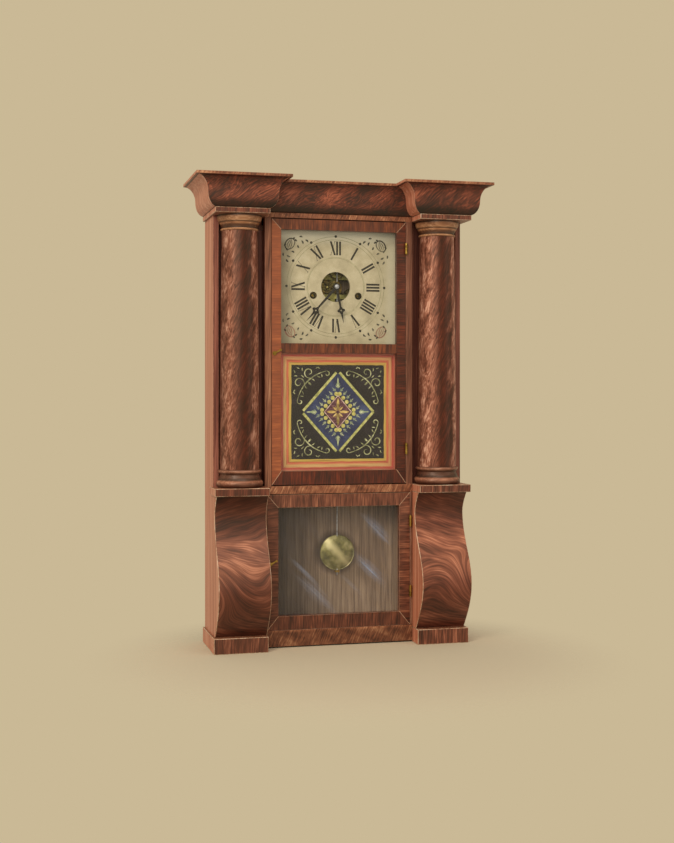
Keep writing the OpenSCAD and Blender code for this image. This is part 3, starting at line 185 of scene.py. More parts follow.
veneers = {
    "columnVeneer": {
        "tones": ("#5e3124", "#905743", "#b4785f", "#e8b499"), "stroke": (2.2, 20, 1.5), "figure": (13, 46, 1.5),
        "tilt": 20, "bend": 9, "tint": "#ffdcc0", "sides": ("#e2e0de", "#ffffff"), "around": [
            (0.0, "#b4aeac"), (0.15, "#c8c2c0"), (0.28, "#ece6e4"), (0.36, "#b89e96"), (0.44, "#704234"),
            (0.60, "#58281b"), (0.67, "#86685e"), (0.74, "#e0d6d4"), (1.0, "#ffffff")]},
    "scrollVeneer": {
        "tones": ("#562a1a", "#824833", "#a06045", "#d6906f"), "stroke": (2.4, 40, 1.1), "figure": (15, 60, 1.4),
        "bend": 10, "sides": ("#d8d2ce", "#ffffff"),
        "flow": {"levels": (40, 110, 172, 215), "slopes": (-0.2, -1.0, -0.32, 0.3),
                 "bow": 0.019, "bowLevels": (50, 105, 130, 178)},
        "shade": {"levels": (27.5, 276.5), "stops": [
            (0.0, "#937e7d"), (0.16, "#a99694"), (0.36, "#b8a6a6"), (0.50, "#f4f3f2"), (0.66, "#ffffff"),
            (0.76, "#aa9390"), (0.88, "#97807c"), (1.0, "#7e6864")]}},
    "cornerVeneer": {"tones": mahogany, "stroke": (1.8, 24, 1.8), "figure": (22, 56, 1.4), "tilt": 50, "bend": 18,
                     "shade": cornerShade},
    "centreVeneer": {"tones": mahogany, "stroke": (1.8, 26, 1.8), "figure": (28, 70, 1.6), "tilt": 62, "bend": 24,
                     "shade": cornerShade},
    "slabVeneer": {**slabLook, "sides": ("#eedace", "#ffffff")},
    "plinthVeneer": {**slabLook, "tones": ("#31140b", "#542a1b", "#743e2b", "#a4674d"),
                     "sides": ("#e2e2e2", "#ffffff")},
    "railVeneer": {"tones": ("#43200f", "#6d3c26", "#8c5639", "#b78560"), "stroke": (2.4, 22, 1.3),
                   "figure": (46, 20, 1.2), "tilt": 24, "bend": 5, "shade": footShade},
    "stripVeneer": {"tones": ("#43200f", "#6d3e2a", "#8c583e", "#b78866"), "stroke": (2.0, 70, 1.0),
                    "figure": (16, 120, 1.0), "tilt": 3, "bend": 3, "shade": footShade,
                    "sides": ("#ffffff", "#d6d0d6")},
    "topVeneer": {"tones": ("#5a2f1e", "#7c4a34", "#925e45", "#b07e60"), "stroke": (2.6, 90, 1.2),
                  "figure": (26, 200, 0.8), "tilt": 90, "bend": 3},
    "sideVeneer": {"tones": ("#99563c", "#b56c51", "#c78465", "#dea085"), "stroke": (2.8, 260, 1.1),
                   "figure": (10, 420, 1.0), "tilt": 0, "bend": 2},
    "nicheVeneer": {"tones": ("#3a1610", "#632e24", "#7f4637", "#a46552"), "stroke": (2.6, 180, 1.0),
                    "figure": (12, 260, 1.0), "tilt": 0, "bend": 3},
    # the edges' tones: worn wood lightened by a painted highlight, the second paler for the edges that the light
    # catches most
    "wornAndLitEdge": {**edgeLook, "tones": ("#4a2619", "#764531", "#905e46", "#b07e63")},
    "highlightEdge": {**edgeLook, "tones": ("#7b543f", "#a98467", "#c8a88b", "#dfc6ac")},
    "capitalVeneer": {**turnedLook, "tones": ("#613d28", "#956543", "#b3825b", "#e1b48e"),
                      "shade": {"levels": (743, 771), "stops": [
                          (0.0, "#e8e0dc"), (0.10, "#ffffff"), (0.17, "#4c3c36"), (0.36, "#8a7872"),
                          (0.46, "#fff6ee"), (0.54, "#6a5850"), (0.62, "#ffffff"), (0.85, "#dcd2cc"),
                          (0.93, "#5e4e48"), (1.0, "#6e5e58")]}},
    "baseVeneer": {**turnedLook, "tones": ("#573126", "#8a5942", "#aa755b", "#d6a588"),
                   "shade": {"levels": (290, 322), "stops": [
                       (0.0, "#5c4c46"), (0.18, "#a4948e"), (0.34, "#fff6f0"), (0.44, "#4c3c36"), (0.62, "#94847e"),
                       (0.78, "#66544e"), (0.88, "#ffffff"), (1.0, "#8c7c76")]}},
    # a door's mitre gives where its side, top and foot start and how wide they run inwards
    "upperDoorVeneer": {
        **doorLook, "tones": ("#31140a", "#4f2213", "#663119", "#874827"), "sides": ("#ffffff", "#caa096"),
        "shade": {"levels": (292, 340), "stops": [(0.0, "#cc9e98"), (0.48, "#cc9e98"), (0.52, "#ffffff")]},
        "mitre": {"side": (125.2, -17), "top": (769, -18.5), "foot": (292, 24), "line": 0.04, "warm": 0.8}},
    "lowerDoorVeneer": {
        **doorLook, "tones": ("#3a1b11", "#5d3122", "#784531", "#9f6649"), "sides": ("#d4cccc", "#f4f0f0"),
        "shade": {"levels": (32, 81), "stops": [(0.0, "#ccbab4"), (0.48, "#ccbab4"), (0.52, "#ffffff")]},
        "mitre": {"side": (133.2, -20), "top": (274.3, -23), "foot": (32.1, 24.5), "line": 0.035, "warm": 0.05}}
}


def rampShade(add, colour, value, levels, stops):
    # the colour times the ramp's grey at the value, which runs from the first level to the last
    grey = add("ValToRGB", add("MapRange", value, *levels), stops=stops)
    return add("Mix", 1.0, colour, grey, **multiply)


def besideColumn(add, x):
    # how far right of the nearer column's middle, and the side's sign: (|x| - columnX) times the sign
    side = add("Math SIGN", x)
    away = add("Math SUBTRACT", add("Math ABSOLUTE", x), columnX * mm)
    return add("Math MULTIPLY", away, side), side


def flowingGrain(add, bent, x, z, flow):
    # strokes along a slope that changes with height: height less slope times the distance from the
    # scroll's middle takes the place of across; each change of slope is a smooth step in height, and
    # the last is the left scroll's alone. Between foot and head the square of the distance bows the
    # strokes outwards, the two scrolls as each other's mirror image
    levels, slopes = np.multiply(flow["levels"], mm), flow["slopes"]
    slope = slopes[0]
    for k in range(3):
        step = add("MapRange", z, levels[k], levels[k + 1], 0.0, slopes[k + 1] - slopes[k], **smooth)
        if k == 2:
            step = add("Math MULTIPLY", step, add("Math LESS_THAN", x, 0.0))
        slope = add("Math ADD", step, slope)
    right, side = besideColumn(add, x)
    height = add("SeparateXYZ", bent).node.outputs["Z"]
    across = add("Math SUBTRACT", height, add("Math MULTIPLY", slope, right))
    foot, low, high, head = np.multiply(flow["bowLevels"], mm)
    rising = add("MapRange", z, foot, low, 0.0, flow["bow"] / mm, **smooth)
    bow = add("Math MULTIPLY", rising, add("MapRange", z, high, head, 1.0, 0.0, **smooth))
    bowed = add("Math MULTIPLY", add("Math MULTIPLY", right, right), side)
    across = add("Math MULTIPLY_ADD", bowed, bow, across)
    return add("CombineXYZ", across, side, x)


def veneerMaterial(name, look):
    # Mahogany veneer, sawn, scraped and French polished: an open grain under a thin shiny film,
    # so the strokes of colour stay sharp while highlights spread softly, warmed by amber shellac
    material, add = startMaterial(name)
    plain = objectPlace(add)
    x, y, z = add("SeparateXYZ", plain).node.outputs
    drift = add("TexNoise", plain, 22.0, 1.0).node.outputs["Color"]
    centred = add("VectorMath SUBTRACT", drift, (0.5,) * 3)
    bent = add("VectorMath MULTIPLY_ADD", centred, (look["bend"] * mm,) * 3, plain)
    if "flow" in look:
        grain = flowingGrain(add, bent, x, z, look["flow"])
    else:
        grain = scaled(add, wholeMetre, look["tilt"], source=bent)
    leftward = add("Math LESS_THAN", x, 0.0)
    onStile = 1.0
    corner = look.get("mitre")
    if corner:
        # the stile's share of a mitred corner: nearer the side edge than the top or foot, measured in widths
        fromSide, fromTop, fromFoot = (
            add("MapRange", place, start * mm, (start + width) * mm, clamp=False) for place, (start, width) in (
                (add("Math ABSOLUTE", x), corner["side"]), (z, corner["top"]), (z, corner["foot"])))
        gap = add("Math SUBTRACT", add("Math MINIMUM", fromTop, fromFoot), fromSide)
        inStile = add("Math LESS_THAN", fromSide, 1.02)
        onStile = add("Math MULTIPLY", add("Math GREATER_THAN", gap, 0.0), inStile)
        lying = scaled(add, wholeMetre, 88, source=bent)
        grain = add("Mix", onStile, grain, lying, data_type="VECTOR")
    strokes, clouds = (
        add("TexNoise", add("VectorMath MULTIPLY", grain, (1000 / width, 1000 / width, 1000 / length)),
            1.0, 2.0, 0.55) for width, length in (look["stroke"][:2], look["figure"][:2]))
    strokeWeight, cloudWeight = look["stroke"][2], look["figure"][2]
    tone = add("Math MULTIPLY_ADD", strokes, strokeWeight, 0.5 - (strokeWeight + cloudWeight) / 2)
    tone = add("Math MULTIPLY_ADD", clouds, cloudWeight, tone)
    colour = add("ValToRGB", tone, stops=zip(toneSteps, look["tones"]))
    if "shade" in look:
        colour = rampShade(add, colour, add("Math DIVIDE", z, mm), **look["shade"])
    if "around" in look:
        # painted shade about the column: the angle about the column's axis, in half turns from the left to the
        # right of its front, picks a grey that darkens a band right of the front and, less, the far left
        right, side = besideColumn(add, x)
        forward = add("Math SUBTRACT", (columnY + faceY) * mm, y)
        wave = add("Math MULTIPLY_ADD", clouds, 0.8, add("Math ARCTAN2", right, forward))
        colour = rampShade(add, colour, wave, (0.4 - math.pi / 2, 0.4 + math.pi / 2), look["around"])
    if "sides" in look:
        # painted shade: the left and the right halves darkened, each by its own tone
        left, right = look["sides"]
        tone = add("ValToRGB", leftward, stops=[(0.0, right), (1.0, left)])
        colour = add("Mix", onStile, colour, tone, **multiply)
    if corner:
        # a pale line along the mitre, and the warmer left stile
        line = add("Math LESS_THAN", add("Math ABSOLUTE", gap), corner["line"])
        line = add("Math MULTIPLY", line, inStile)
        colour = add("Mix", line, colour, toLinear("#b08a6e"), **blend)
        warm = add("Math MULTIPLY", add("Math MULTIPLY", leftward, onStile), corner["warm"])
        colour = add("Mix", warm, colour, toLinear("#7c4124"), data_type="RGBA", blend_type="SCREEN")
    shine = add("MapRange", strokes, 0.3, 0.7, 0.56, 0.42)
    closeMaterial(add, strokes, 0.3, 0.0003, {
        "Base Color": colour, "Roughness": shine, "IOR": 1.5,
        "Specular Tint": toLinear(look.get("tint", "#fff5e6")),
        "Coat Weight": 0.08, "Coat Roughness": 0.25, "Coat IOR": 1.5})
    return material


finish = {name: veneerMaterial(name, look) for name, look in veneers.items()}

# grain is the size of the board's strokes; the left tone is a painted shade over the backboard's
# left, and a round painted shadow of the bob lies behind it, of the size and at the place given
boards = {
    "backBoard": {"stops": [(0.30, "#625043"), (0.46, "#907864"), (0.58, "#b49a81"), (0.74, "#dcc6aa")],
                  "grain": (3.5, 3.5, 110), "leftShade": "#706a68",
                  "bobShadowSize": (46, 400, 46), "bobShadow": (15, 80, 158)},
    "plainBoard": {"stops": [(0.34, "#5a432c"), (0.47, "#80644a"), (0.58, "#9c8062"), (0.72, "#b99f7e")],
                   "grain": (4, 60, 4)}}


def boardMaterial(name, look):
    # Bare pine and poplar boards, planed and left unfinished: matt, with long dull strokes and grey
    # dirt; the backboard has a painted shade on its left and a round painted shadow behind the bob
    material, add = startMaterial(name)
    lines = add("TexNoise", scaled(add, look["grain"]), 1.0, 4.0, 0.65)
    wash = add("TexNoise", scaled(add, (60, 60, 140)), 1.0, 2.0)
    colour = add("ValToRGB", add("Mix", 0.35, lines, wash), stops=look["stops"])
    if "bobShadow" in look:
        across = add("SeparateXYZ", objectPlace(add))
        away = add("VectorMath LENGTH", scaled(add, look["bobShadowSize"], 0, look["bobShadow"]))
        # painted shade over the board's left, then a round painted shadow behind the bob
        colour = rampShade(add, colour, across, (-0.11, 0.11), [(0.0, look["leftShade"]), (0.75, "#ffffff")])
        colour = rampShade(add, colour, away, (0, 1), [(0.62, "#7c7470"), (0.98, "#ffffff")])
    closeMaterial(add, lines, 0.4, 0.0004, {"Base Color": colour, "Roughness": 0.78, "IOR": 1.45})
    return material


# cloud is the size of the tarnish, marks the size of the fine scratches; band is half the width
# of the painted highlight across the bob and middle its place
metals = {
    "agedBrass": {"stops": [(0.3, "#5c4a22"), (0.5, "#94793a"), (0.68, "#bfa25a")], "cloud": 9,
                  "marks": (0.8, 0.8, 8), "rough": (0.26, 0.5), "metallic": 1.0},
    "movementBrass": {"stops": [(0.3, "#2b2614"), (0.5, "#4f4526"), (0.68, "#8a7a48")], "cloud": 7,
                      "marks": (0.8, 0.8, 8), "rough": (0.4, 0.65), "metallic": 0.9},
    # near-black brass for the winding bushes
    "darkBrass": {"stops": [(0.3, "#15110a"), (0.5, "#2b2414"), (0.68, "#4e442a")], "cloud": 5,
                   "marks": (0.8, 0.8, 4), "rough": (0.45, 0.65), "metallic": 0.8},
    "plateBrass": {"stops": [(0.3, "#646338"), (0.5, "#b2af68"), (0.68, "#ece89c")], "cloud": 20,
                   "marks": (0.8, 0.8, 8), "rough": (0.45, 0.65), "metallic": 0.7},
    "bobBrass": {"stops": [(0.32, "#5c5a38"), (0.5, "#858154"), (0.66, "#a8a378")], "cloud": 16,
                 "marks": (1.2, 1.2, 10), "rough": (0.4, 0.55), "metallic": 0.75,
                 "band": 11, "middle": (6.5, 40, 163)},
    "drawnSteel": {"stops": [(0.3, "#4a4c50"), (0.5, "#74777c"), (0.7, "#9a9da2")], "cloud": 6,
                   "marks": (0.5, 0.5, 12), "rough": (0.28, 0.5), "metallic": 1.0},
    "paleWire": {"stops": [(0.3, "#8d9299"), (0.5, "#b4b9c0"), (0.7, "#d6dae0")], "cloud": 6,
                 "marks": (0.5, 0.5, 12), "rough": (0.4, 0.6), "metallic": 0.5},
    "castIron": {"stops": [(0.3, "#262322"), (0.5, "#3d3835"), (0.7, "#5c4d43")], "cloud": 12,
                 "marks": (1.5, 1.5, 1.5), "rough": (0.62, 0.85), "metallic": 0.6},
    "blackenedSteel": {"stops": [(0.3, "#080706"), (0.5, "#100e0d"), (0.7, "#1c1917")], "cloud": 7,
                       "marks": (0.6, 0.6, 6), "rough": (0.5, 0.7), "metallic": 0.2}}


def metalMaterial(name, look):
    # Brass, steel or iron with years of handling: the polish is broken by a soft cloud of tarnish
    # that is duller and darker, and by fine marks
    material, add = startMaterial(name)
    cloud = add("TexNoise", scaled(add, (look["cloud"],) * 3), 1.0, 4.0, 0.6)
    marks = add("TexNoise", scaled(add, look["marks"]), 1.0, 2.0)
    colour = add("ValToRGB", cloud, stops=look["stops"])
    if "band" in look:
        # a painted highlight: a lighter band across the disc
        slope = add("SeparateXYZ", scaled(add, (look["band"],) * 3, -42, look["middle"]))
        paintedHighlight = add("MapRange", add("Math ABSOLUTE", slope), 0.0, 1.0, 0.75, 0.0, **smooth)
        colour = add("Mix", paintedHighlight, colour, toLinear("#d8d0a4"), **blend)
    polished, tarnished = look["rough"]
    dull = add("MapRange", cloud, 0.35, 0.65, tarnished, polished)
    closeMaterial(add, marks, 0.25, 0.0002, {"Base Color": colour, "Metallic": look["metallic"], "Roughness": dull})
    return material


# the painted reflections in the lower pane, as pale streaks: x, z, half width, half length and strength of each
reflectionStreaks = [(72, 210, 14, 46, 0.19), (60, 135, 14, 52, 0.20), (60, 133, 2.6, 32, 0.30), (-62, 133, 7, 46, 0.15),
           (-44, 97, 16, 54, 0.14), (24, 108, 5, 40, 0.09), (-20, 70, 9, 40, 0.07), (86, 190, 5, 26, 0.12)]


def glassMaterial(name, streaks):
    # Old window glass, drawn flat: clear, a soft sheen at a slant; the lower pane has a film of dust
    # and pale slanting streaks of painted reflection
    material, add = startMaterial(name)
    clear = add("BsdfTransparent", (0.99, 0.99, 0.985, 1.0))
    mirror = add("BsdfGlossy", (0.9, 0.93, 0.95, 1.0), 0.06)
    front = add("Math SUBTRACT", 1.0, add("NewGeometry").node.outputs["Backfacing"])
    sheen = add("Math MULTIPLY", add("Fresnel", 1.5), front)
    surface = add("MixShader", sheen, clear, mirror)
    if streaks:
        # each streak of painted reflection fades from its middle to nothing at its half width and half length
        lean, paneY = -46, 10
        streakBreakup = add("TexNoise", scaled(add, (4, 40, 160), lean, (0, paneY, 150)), 1.0, 2.0)
        dustAndReflection = 0.02
        for x, z, width, length, strength in streaks:
            away = add("VectorMath LENGTH", scaled(add, (width, 200, length), lean, (x, paneY, z)))
            dustAndReflection = add("Math ADD", dustAndReflection, add("MapRange", away, 0.0, 1.0, strength, 0.0, **smooth))
        broken = add("MapRange", streakBreakup, 0.36, 0.62, 0.35, 1.0)
        dustAndReflection = add("Math MULTIPLY", dustAndReflection, broken, use_clamp=True)
        surface = add("MixShader", dustAndReflection, surface, add("BsdfDiffuse", toLinear("#98a4bc")))
    add("OutputMaterial", surface)
    return material


# the first band, a painted shade, counts outwards from the dial's middle; left, top and right are
# bands along those edges: a painted shade on the left, painted light at the top and right.
# Each is where it starts and ends and how strongly its tone counts there
dialLook = {"middleZ": 648, "mottle": [(0.3, "#a89d7f"), (0.5, "#b9ae8e"), (0.7, "#c6bc9e")],
            "edgeShade": (78, 108, 0.0, 0.45), "left": (-112, -70, 0.65, 0.0),
            "top": (722, 748, 0.0, 0.95), "right": (88, 108, 0.0, 0.45), "tones": ("#b0a684", "#746b57", "#e4dec4")}


def dialMaterial(name, look):
    # Oil paint on a thin wooden board: chalky cream with a faint mottle that a brush and a century of
    # smoke left; a painted shade turns it greenish grey towards the edges and darker on the left, and
    # painted light makes the top and right edges paler
    material, add = startMaterial(name)
    plain = objectPlace(add)
    x, y, z = add("SeparateXYZ", plain).node.outputs
    mottle = add("TexNoise", plain, 46.0, 4.0, 0.6)
    brush = add("TexNoise", scaled(add, (30, 30, 3)), 1.0, 3.0)
    wobble = add("MapRange", mottle, 0.3, 0.7, -0.010, 0.010, clamp=False)
    upward = add("Math ABSOLUTE", add("Math SUBTRACT", z, look["middleZ"] * mm))
    reach = add("Math ADD", add("Math MAXIMUM", add("Math ABSOLUTE", x), upward), wobble)
    grey, wash, above, beside = (
        add("MapRange", value, start * mm, end * mm, *shares, **smooth) for value, (start, end, *shares) in (
            (reach, look["edgeShade"]), (x, look["left"]), (z, look["top"]), (x, look["right"])))
    colour = add("ValToRGB", mottle, stops=look["mottle"])
    # painted shade towards the edges and on the left, painted light at the top and right
    for share, tone in zip((grey, wash, add("Math MAXIMUM", above, beside)), look["tones"]):
        colour = add("Mix", share, colour, toLinear(tone), **blend)
    closeMaterial(add, brush, 0.2, 0.0002, {"Base Color": colour, "Roughness": 0.58, "IOR": 1.48})
    return material


# the tones of each paint, and the size of its brush marks
paints = {
    "numeralInk": (("#0e0c0a", "#17130f", "#292219"), 5), "ringInk": (("#7d7a58", "#918d6a", "#aaa47e"), 14),
    "sprayInk": (("#1c1a16", "#3a372e", "#6c6752"), 5), "shellTint": (("#8a5c48", "#9c6f5a", "#84604e"), 6),
    "goldLine": (("#8f9150", "#b6b46c", "#cfca8c"), 6), "rayPaint": (("#8fa07c", "#b7c08a", "#dde0b4"), 7),
    "yellowDot": (("#a39a50", "#c4bb68", "#d8d08a"), 5), "maroonPaint": (("#3c1c26", "#5a303a", "#8a5c62"), 3),
    "pinkLine": (("#b98f86", "#d8b8ac", "#ecd6cc"), 5), "starPaint": (("#b3924a", "#d0b264", "#e6d090"), 6),
    "sprayPaint": (("#6f7150", "#a5a676", "#cfcfa4"), 8)}


def paintMaterial(name, tones, size):
    # Oil or gold size brushed on by hand: three close tones that run along the stroke
    material, add = startMaterial(name)
    streak = add("TexNoise", scaled(add, (size,) * 3), 1.0, 3.0, 0.6)
    colour = add("ValToRGB", streak, stops=zip((0.36, 0.52, 0.66), tones))
    closeMaterial(add, streak, 0.15, 0.0001, {"Base Color": colour, "Roughness": 0.5, "IOR": 1.48})
    return material


def cordMaterial(name):
    # Twisted linen: matt, fuzzy strands that catch light on their backs and go dark in the lay between
    material, add = startMaterial(name)
    lay = add("TexWave", scaled(add, (2.2, 2.2, 3.4)), 0.5, 1.5, 2.0,
              wave_type="BANDS", bands_direction="DIAGONAL").node.outputs["Fac"]
    colour = add("ValToRGB", lay, stops=[(0.15, "#6d6144"), (0.5, "#a1936c"), (0.85, "#c2b68f")])
    closeMaterial(add, lay, 0.5, 0.0003, {
        "Base Color": colour, "Roughness": 0.85, "IOR": 1.5, "Sheen Weight": 0.25})
    return material


finish |= {name: boardMaterial(name, look) for name, look in boards.items()}
finish |= {name: metalMaterial(name, look) for name, look in metals.items()}
finish |= {name: paintMaterial(name, *look) for name, look in paints.items()}
finish |= {"clearGlass": glassMaterial("clearGlass", ()), "streakReflectionGlass": glassMaterial("streakReflectionGlass", reflectionStreaks),
           "dialPaint": dialMaterial("dialPaint", dialLook), "twistedLinen": cordMaterial("twistedLinen")}
print("materials made")


# Small helpers for meshes

def cleanMesh(mesh, distance, flatten=False):
    # doubles within the distance merged, flat faces joined where asked, and faces turned outwards
    work = bmesh.new()
    work.from_mesh(mesh)
    bmesh.ops.remove_doubles(work, verts=work.verts, dist=distance)
    if flatten:
        bmesh.ops.dissolve_limit(work, angle_limit=math.radians(0.6), verts=work.verts, edges=work.edges)
    bmesh.ops.recalc_face_normals(work, faces=work.faces)
    work.to_mesh(mesh)
    work.free()


def readVectors(items, key):
    # one vector for each vertex or face, as rows
    values = np.zeros(len(items) * 3, np.float32)
    items.foreach_get(key, values)
    return values.reshape(-1, 3)


def placePiece(name, mesh, body, slotName, *replaced):
    # a finished piece in the scene, on its body and in place of the nodes that it replaces; its slot's name is not
    # used
    piece = bpy.data.objects.new(name, mesh)
    scene.collection.objects.link(piece)
    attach(piece, body)
    if replaced:
        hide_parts(*replaced)
    return piece


def newPiece(name, points, faces, look, body, slotName, rounded=False):
    # a mesh from whole arrays of points in mm and blocks of faces
    mesh = bpy.data.meshes.new(name)
    mesh.from_pydata(metres(points).tolist(), [], [face for block in faces for face in block.tolist()])
    cleanMesh(mesh, 1e-6)
    mesh.materials.append(finish[look])
    if rounded:
        mesh.shade_smooth()
    return placePiece(name, mesh, body, slotName)


def gridFaces(rings, sides):
    # the quads between neighbouring rings of a tube, where ring k's points are k * sides and on
    row, step = np.arange(rings - 1)[:, None] * sides, np.arange(sides)[None, :]
    after = (step + 1) % sides
    return np.stack([row + step, row + after, row + sides + after, row + sides + step], 2).reshape(-1, 4)


def copyNode(node, name):
    # a clean copy of a node's mesh, with no material
    mesh = cadNodes[node].data.copy()
    mesh.name = name
    cleanMesh(mesh, 2e-6, flatten=True)
    mesh.materials.clear()
    return mesh


def woodPiece(node, name, front, side=None, edge=0.7, smoothAngle=32, edgeWearAndLight="wornAndLitEdge", slotName="veneer",
              inner=None, top=None):
    # a copy of a wooden node, rounded on every sharp edge, and the rounding takes the edge tone: worn
    # wood lightened by a painted highlight. Faces that look more sideways than forwards take the side
    # veneer, or the inner finish where they look towards the middle, and faces that look up or down may have a
    # finish of their own
    mesh = copyNode(node, name)
    for look in (front, side or front, edgeWearAndLight, inner, top):
        if look:
            mesh.materials.append(finish[look])
    normals, centres = readVectors(mesh.polygons, "normal"), readVectors(mesh.polygons, "center")
    upright = np.abs(normals[:, 2]) < 0.97
    isSide = (np.abs(normals[:, 0]) > np.abs(normals[:, 1])) & upright
    finishIndex = isSide.astype(np.int32)
    if inner:
        finishIndex[isSide & (normals[:, 0] * centres[:, 0] < 0)] = 3
    if top:
        finishIndex[~upright] = len(mesh.materials) - 1
    mesh.polygons.foreach_set("material_index", finishIndex)
    mesh.shade_smooth()
    mesh.set_sharp_from_angle(angle=math.radians(smoothAngle))
    piece = placePiece(name, mesh, cadNodes[node]["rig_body"], slotName, node)
    if edge:
        rounding = piece.modifiers.new("rounding", "BEVEL")
        rounding.width = edge * mm
        rounding.segments = 2
        rounding.limit_method = "ANGLE"
        rounding.angle_limit = math.radians(40)
        rounding.material = 2


woodPiece("case_sides", "caseSides", "nicheVeneer", "sideVeneer")
woodPiece("niche_panels", "nichePanels", "nicheVeneer", edge=0)
woodPiece("partitions", "partitionBoards", "stripVeneer", "nicheVeneer", edge=0.5, inner="backBoard")
woodPiece("front_rails", "frontRails", "railVeneer", edge=0.5)
woodPiece("plinth_blocks", "plinthBlocks", "plinthVeneer", "sideVeneer", edge=0.9, edgeWearAndLight="highlightEdge", top="topVeneer")
woodPiece("scrolls", "scrollPilasters", "scrollVeneer", "sideVeneer", edge=0.9, smoothAngle=40, edgeWearAndLight="highlightEdge")
woodPiece("column_slabs", "columnSlabs", "slabVeneer", "sideVeneer", edge=0.8, edgeWearAndLight="highlightEdge", top="topVeneer")
woodPiece("column_bases", "columnBases", "baseVeneer", edge=0.3)
woodPiece("column_shafts", "columnShafts", "columnVeneer", edge=0)
woodPiece("column_capitals", "columnCapitals", "capitalVeneer", edge=0.3, slotName="capital_wood")
woodPiece("cornice_blocks", "corniceBlocks", "cornerVeneer", "sideVeneer", smoothAngle=40, edgeWearAndLight="highlightEdge")
woodPiece("cornice_centre", "corniceCentre", "centreVeneer", edge=0.6, smoothAngle=40)
woodPiece("cap_board", "capBoard", "railVeneer", "sideVeneer", edge=0.6, top="topVeneer")
woodPiece("upper_door_frame", "upperDoorFrame", "upperDoorVeneer", edge=0.5)
woodPiece("lower_door_frame", "lowerDoorFrame", "lowerDoorVeneer", edge=0.6, edgeWearAndLight="highlightEdge")

# the nodes that keep their mesh, under the finish that they get
dressed = {
    "backBoard": ["backboard"],
    "plainBoard": ["end_boards", "inner_rails", "top_pulley_left", "top_pulley_right"],
    "agedBrass": ["upper_door_leaves", "lower_door_leaves", "fixed_leaves", "upper_latch", "lower_latch",
                  "time_drum", "strike_drum", "centre_wheel", "rating_nut",
                  "weight_pulley_left", "weight_pulley_right"],
    "movementBrass": ["back_plate", "movement_pillars", "time_great_wheel", "third_wheel", "escape_wheel",
                      "minute_wheel", "hour_wheel", "strike_great_wheel", "pin_wheel", "fly", "hammer"],
    "plateBrass": ["front_plate"],
    "darkBrass": ["winding_bushes"],
    "bobBrass": ["pendulum_bob"],
    "drawnSteel": ["verge", "gong"],
    "paleWire": ["pendulum_rod", "cannon_pinion"],
    "castIron": ["weight_left", "weight_right"],
    "dialPaint": ["dial"],
    "clearGlass": ["dial_glass", "tablet_glass"],
    "streakReflectionGlass": ["pendulum_glass"]}
for look, nodes in dressed.items():
    for node in nodes:
        slots = cadNodes[node].data.materials
        slots.clear()
        slots.append(finish[look])

# The collet that holds the minute hand: a turned dome with a flat rim, as radius and depth
handsAt = np.array([0, 651])
collet = {"profile": [(0, 17.3), (1.6, 17.5), (2.6, 18.1), (3.0, 18.8), (4.1, 18.9), (4.1, 19.18), (0, 19.18)],
          "sides": 32}
turn = np.linspace(0, 2 * np.pi, collet["sides"] + 1)[:-1]
radius, deep = np.array(collet["profile"]).T[:, :, None]
points = np.stack(np.broadcast_arrays(
    handsAt[0] + radius * np.cos(turn), deep, handsAt[1] + radius * np.sin(turn)), 2)
newPiece("handCollet", points.reshape(-1, 3), [gridFaces(len(radius), collet["sides"])], "paleWire",
         "minutes", "steel", rounded=True)

# The hands carry thick japan on their edges, which makes them a little bolder than the bare steel:
# each point goes along its normal's share across the dial, stretched to the growth
for node, name, growth in (("minute_hand", "minuteHandJapanned", 0.4), ("hour_hand", "hourHandJapanned", 0.35)):
    mesh = copyNode(node, name)
    points, normals = readVectors(mesh.vertices, "co"), readVectors(mesh.vertices, "normal")
    normals[:, 1] = 0
    points += normals / np.maximum(np.linalg.norm(normals, axis=1, keepdims=True), 0.2) * growth * mm
    mesh.vertices.foreach_set("co", points.ravel())
    mesh.materials.append(finish["blackenedSteel"])
    placePiece(name, mesh, cadNodes[node]["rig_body"], "blackened_steel", node)
print("frame dressed")


# Painted lines: thin flat solids, each the area between a left and a right edge

def direction(degrees):
    # the unit vector at an angle counted from x towards z
    return np.array([math.cos(math.radians(degrees)), math.sin(math.radians(degrees))])


def arc(centre, radius, angles):
    # centre + radius * (cos, sin) of each angle, where the radius may change from point to point
    return centre + np.reshape(radius, (-1, 1)) * np.stack([np.cos(angles), np.sin(angles)], 1)


def strokeEdges(path, half):
    # the edges of a line: the path plus and minus its half width along the normal, which is the
    # direction of travel turned by a quarter
    path = np.asarray(path, float)
    travel = np.gradient(path, axis=0)
    travel /= np.maximum(np.linalg.norm(travel, axis=1, keepdims=True), 1e-9)
    normal = np.stack([-travel[:, 1], travel[:, 0]], 1)
    half = np.broadcast_to(half, len(path))[:, None]
    return path + normal * half, path - normal * half


def brushEdges(path, widest, thin=0.12):
    # the edges of a brush stroke, whose half width is the widest times the sine of the way along to
    # the power 0.7, never under the thin end's share
    share = np.linspace(0, 1, len(path))
    return strokeEdges(path, widest * np.maximum(np.sin(np.pi * share) ** 0.7, thin))


def ringEdges(centre, radius, half, sides=96):
    # a ring: two circles about the centre, of the radius plus and minus the half width
    angle = np.linspace(0, 2 * np.pi, sides + 1)
    unit = np.stack([np.sin(angle), np.cos(angle)], 1)
    return centre + unit * (radius + half), centre + unit * (radius - half)


def discEdges(centre, radius, sides=14):
    # a disc: the arc from its top down its right side, against the arc down its left side
    turn = np.linspace(0, math.pi, sides)
    return [centre + np.stack([sign * np.sin(turn), np.cos(turn)], 1) * radius for sign in (1, -1)]


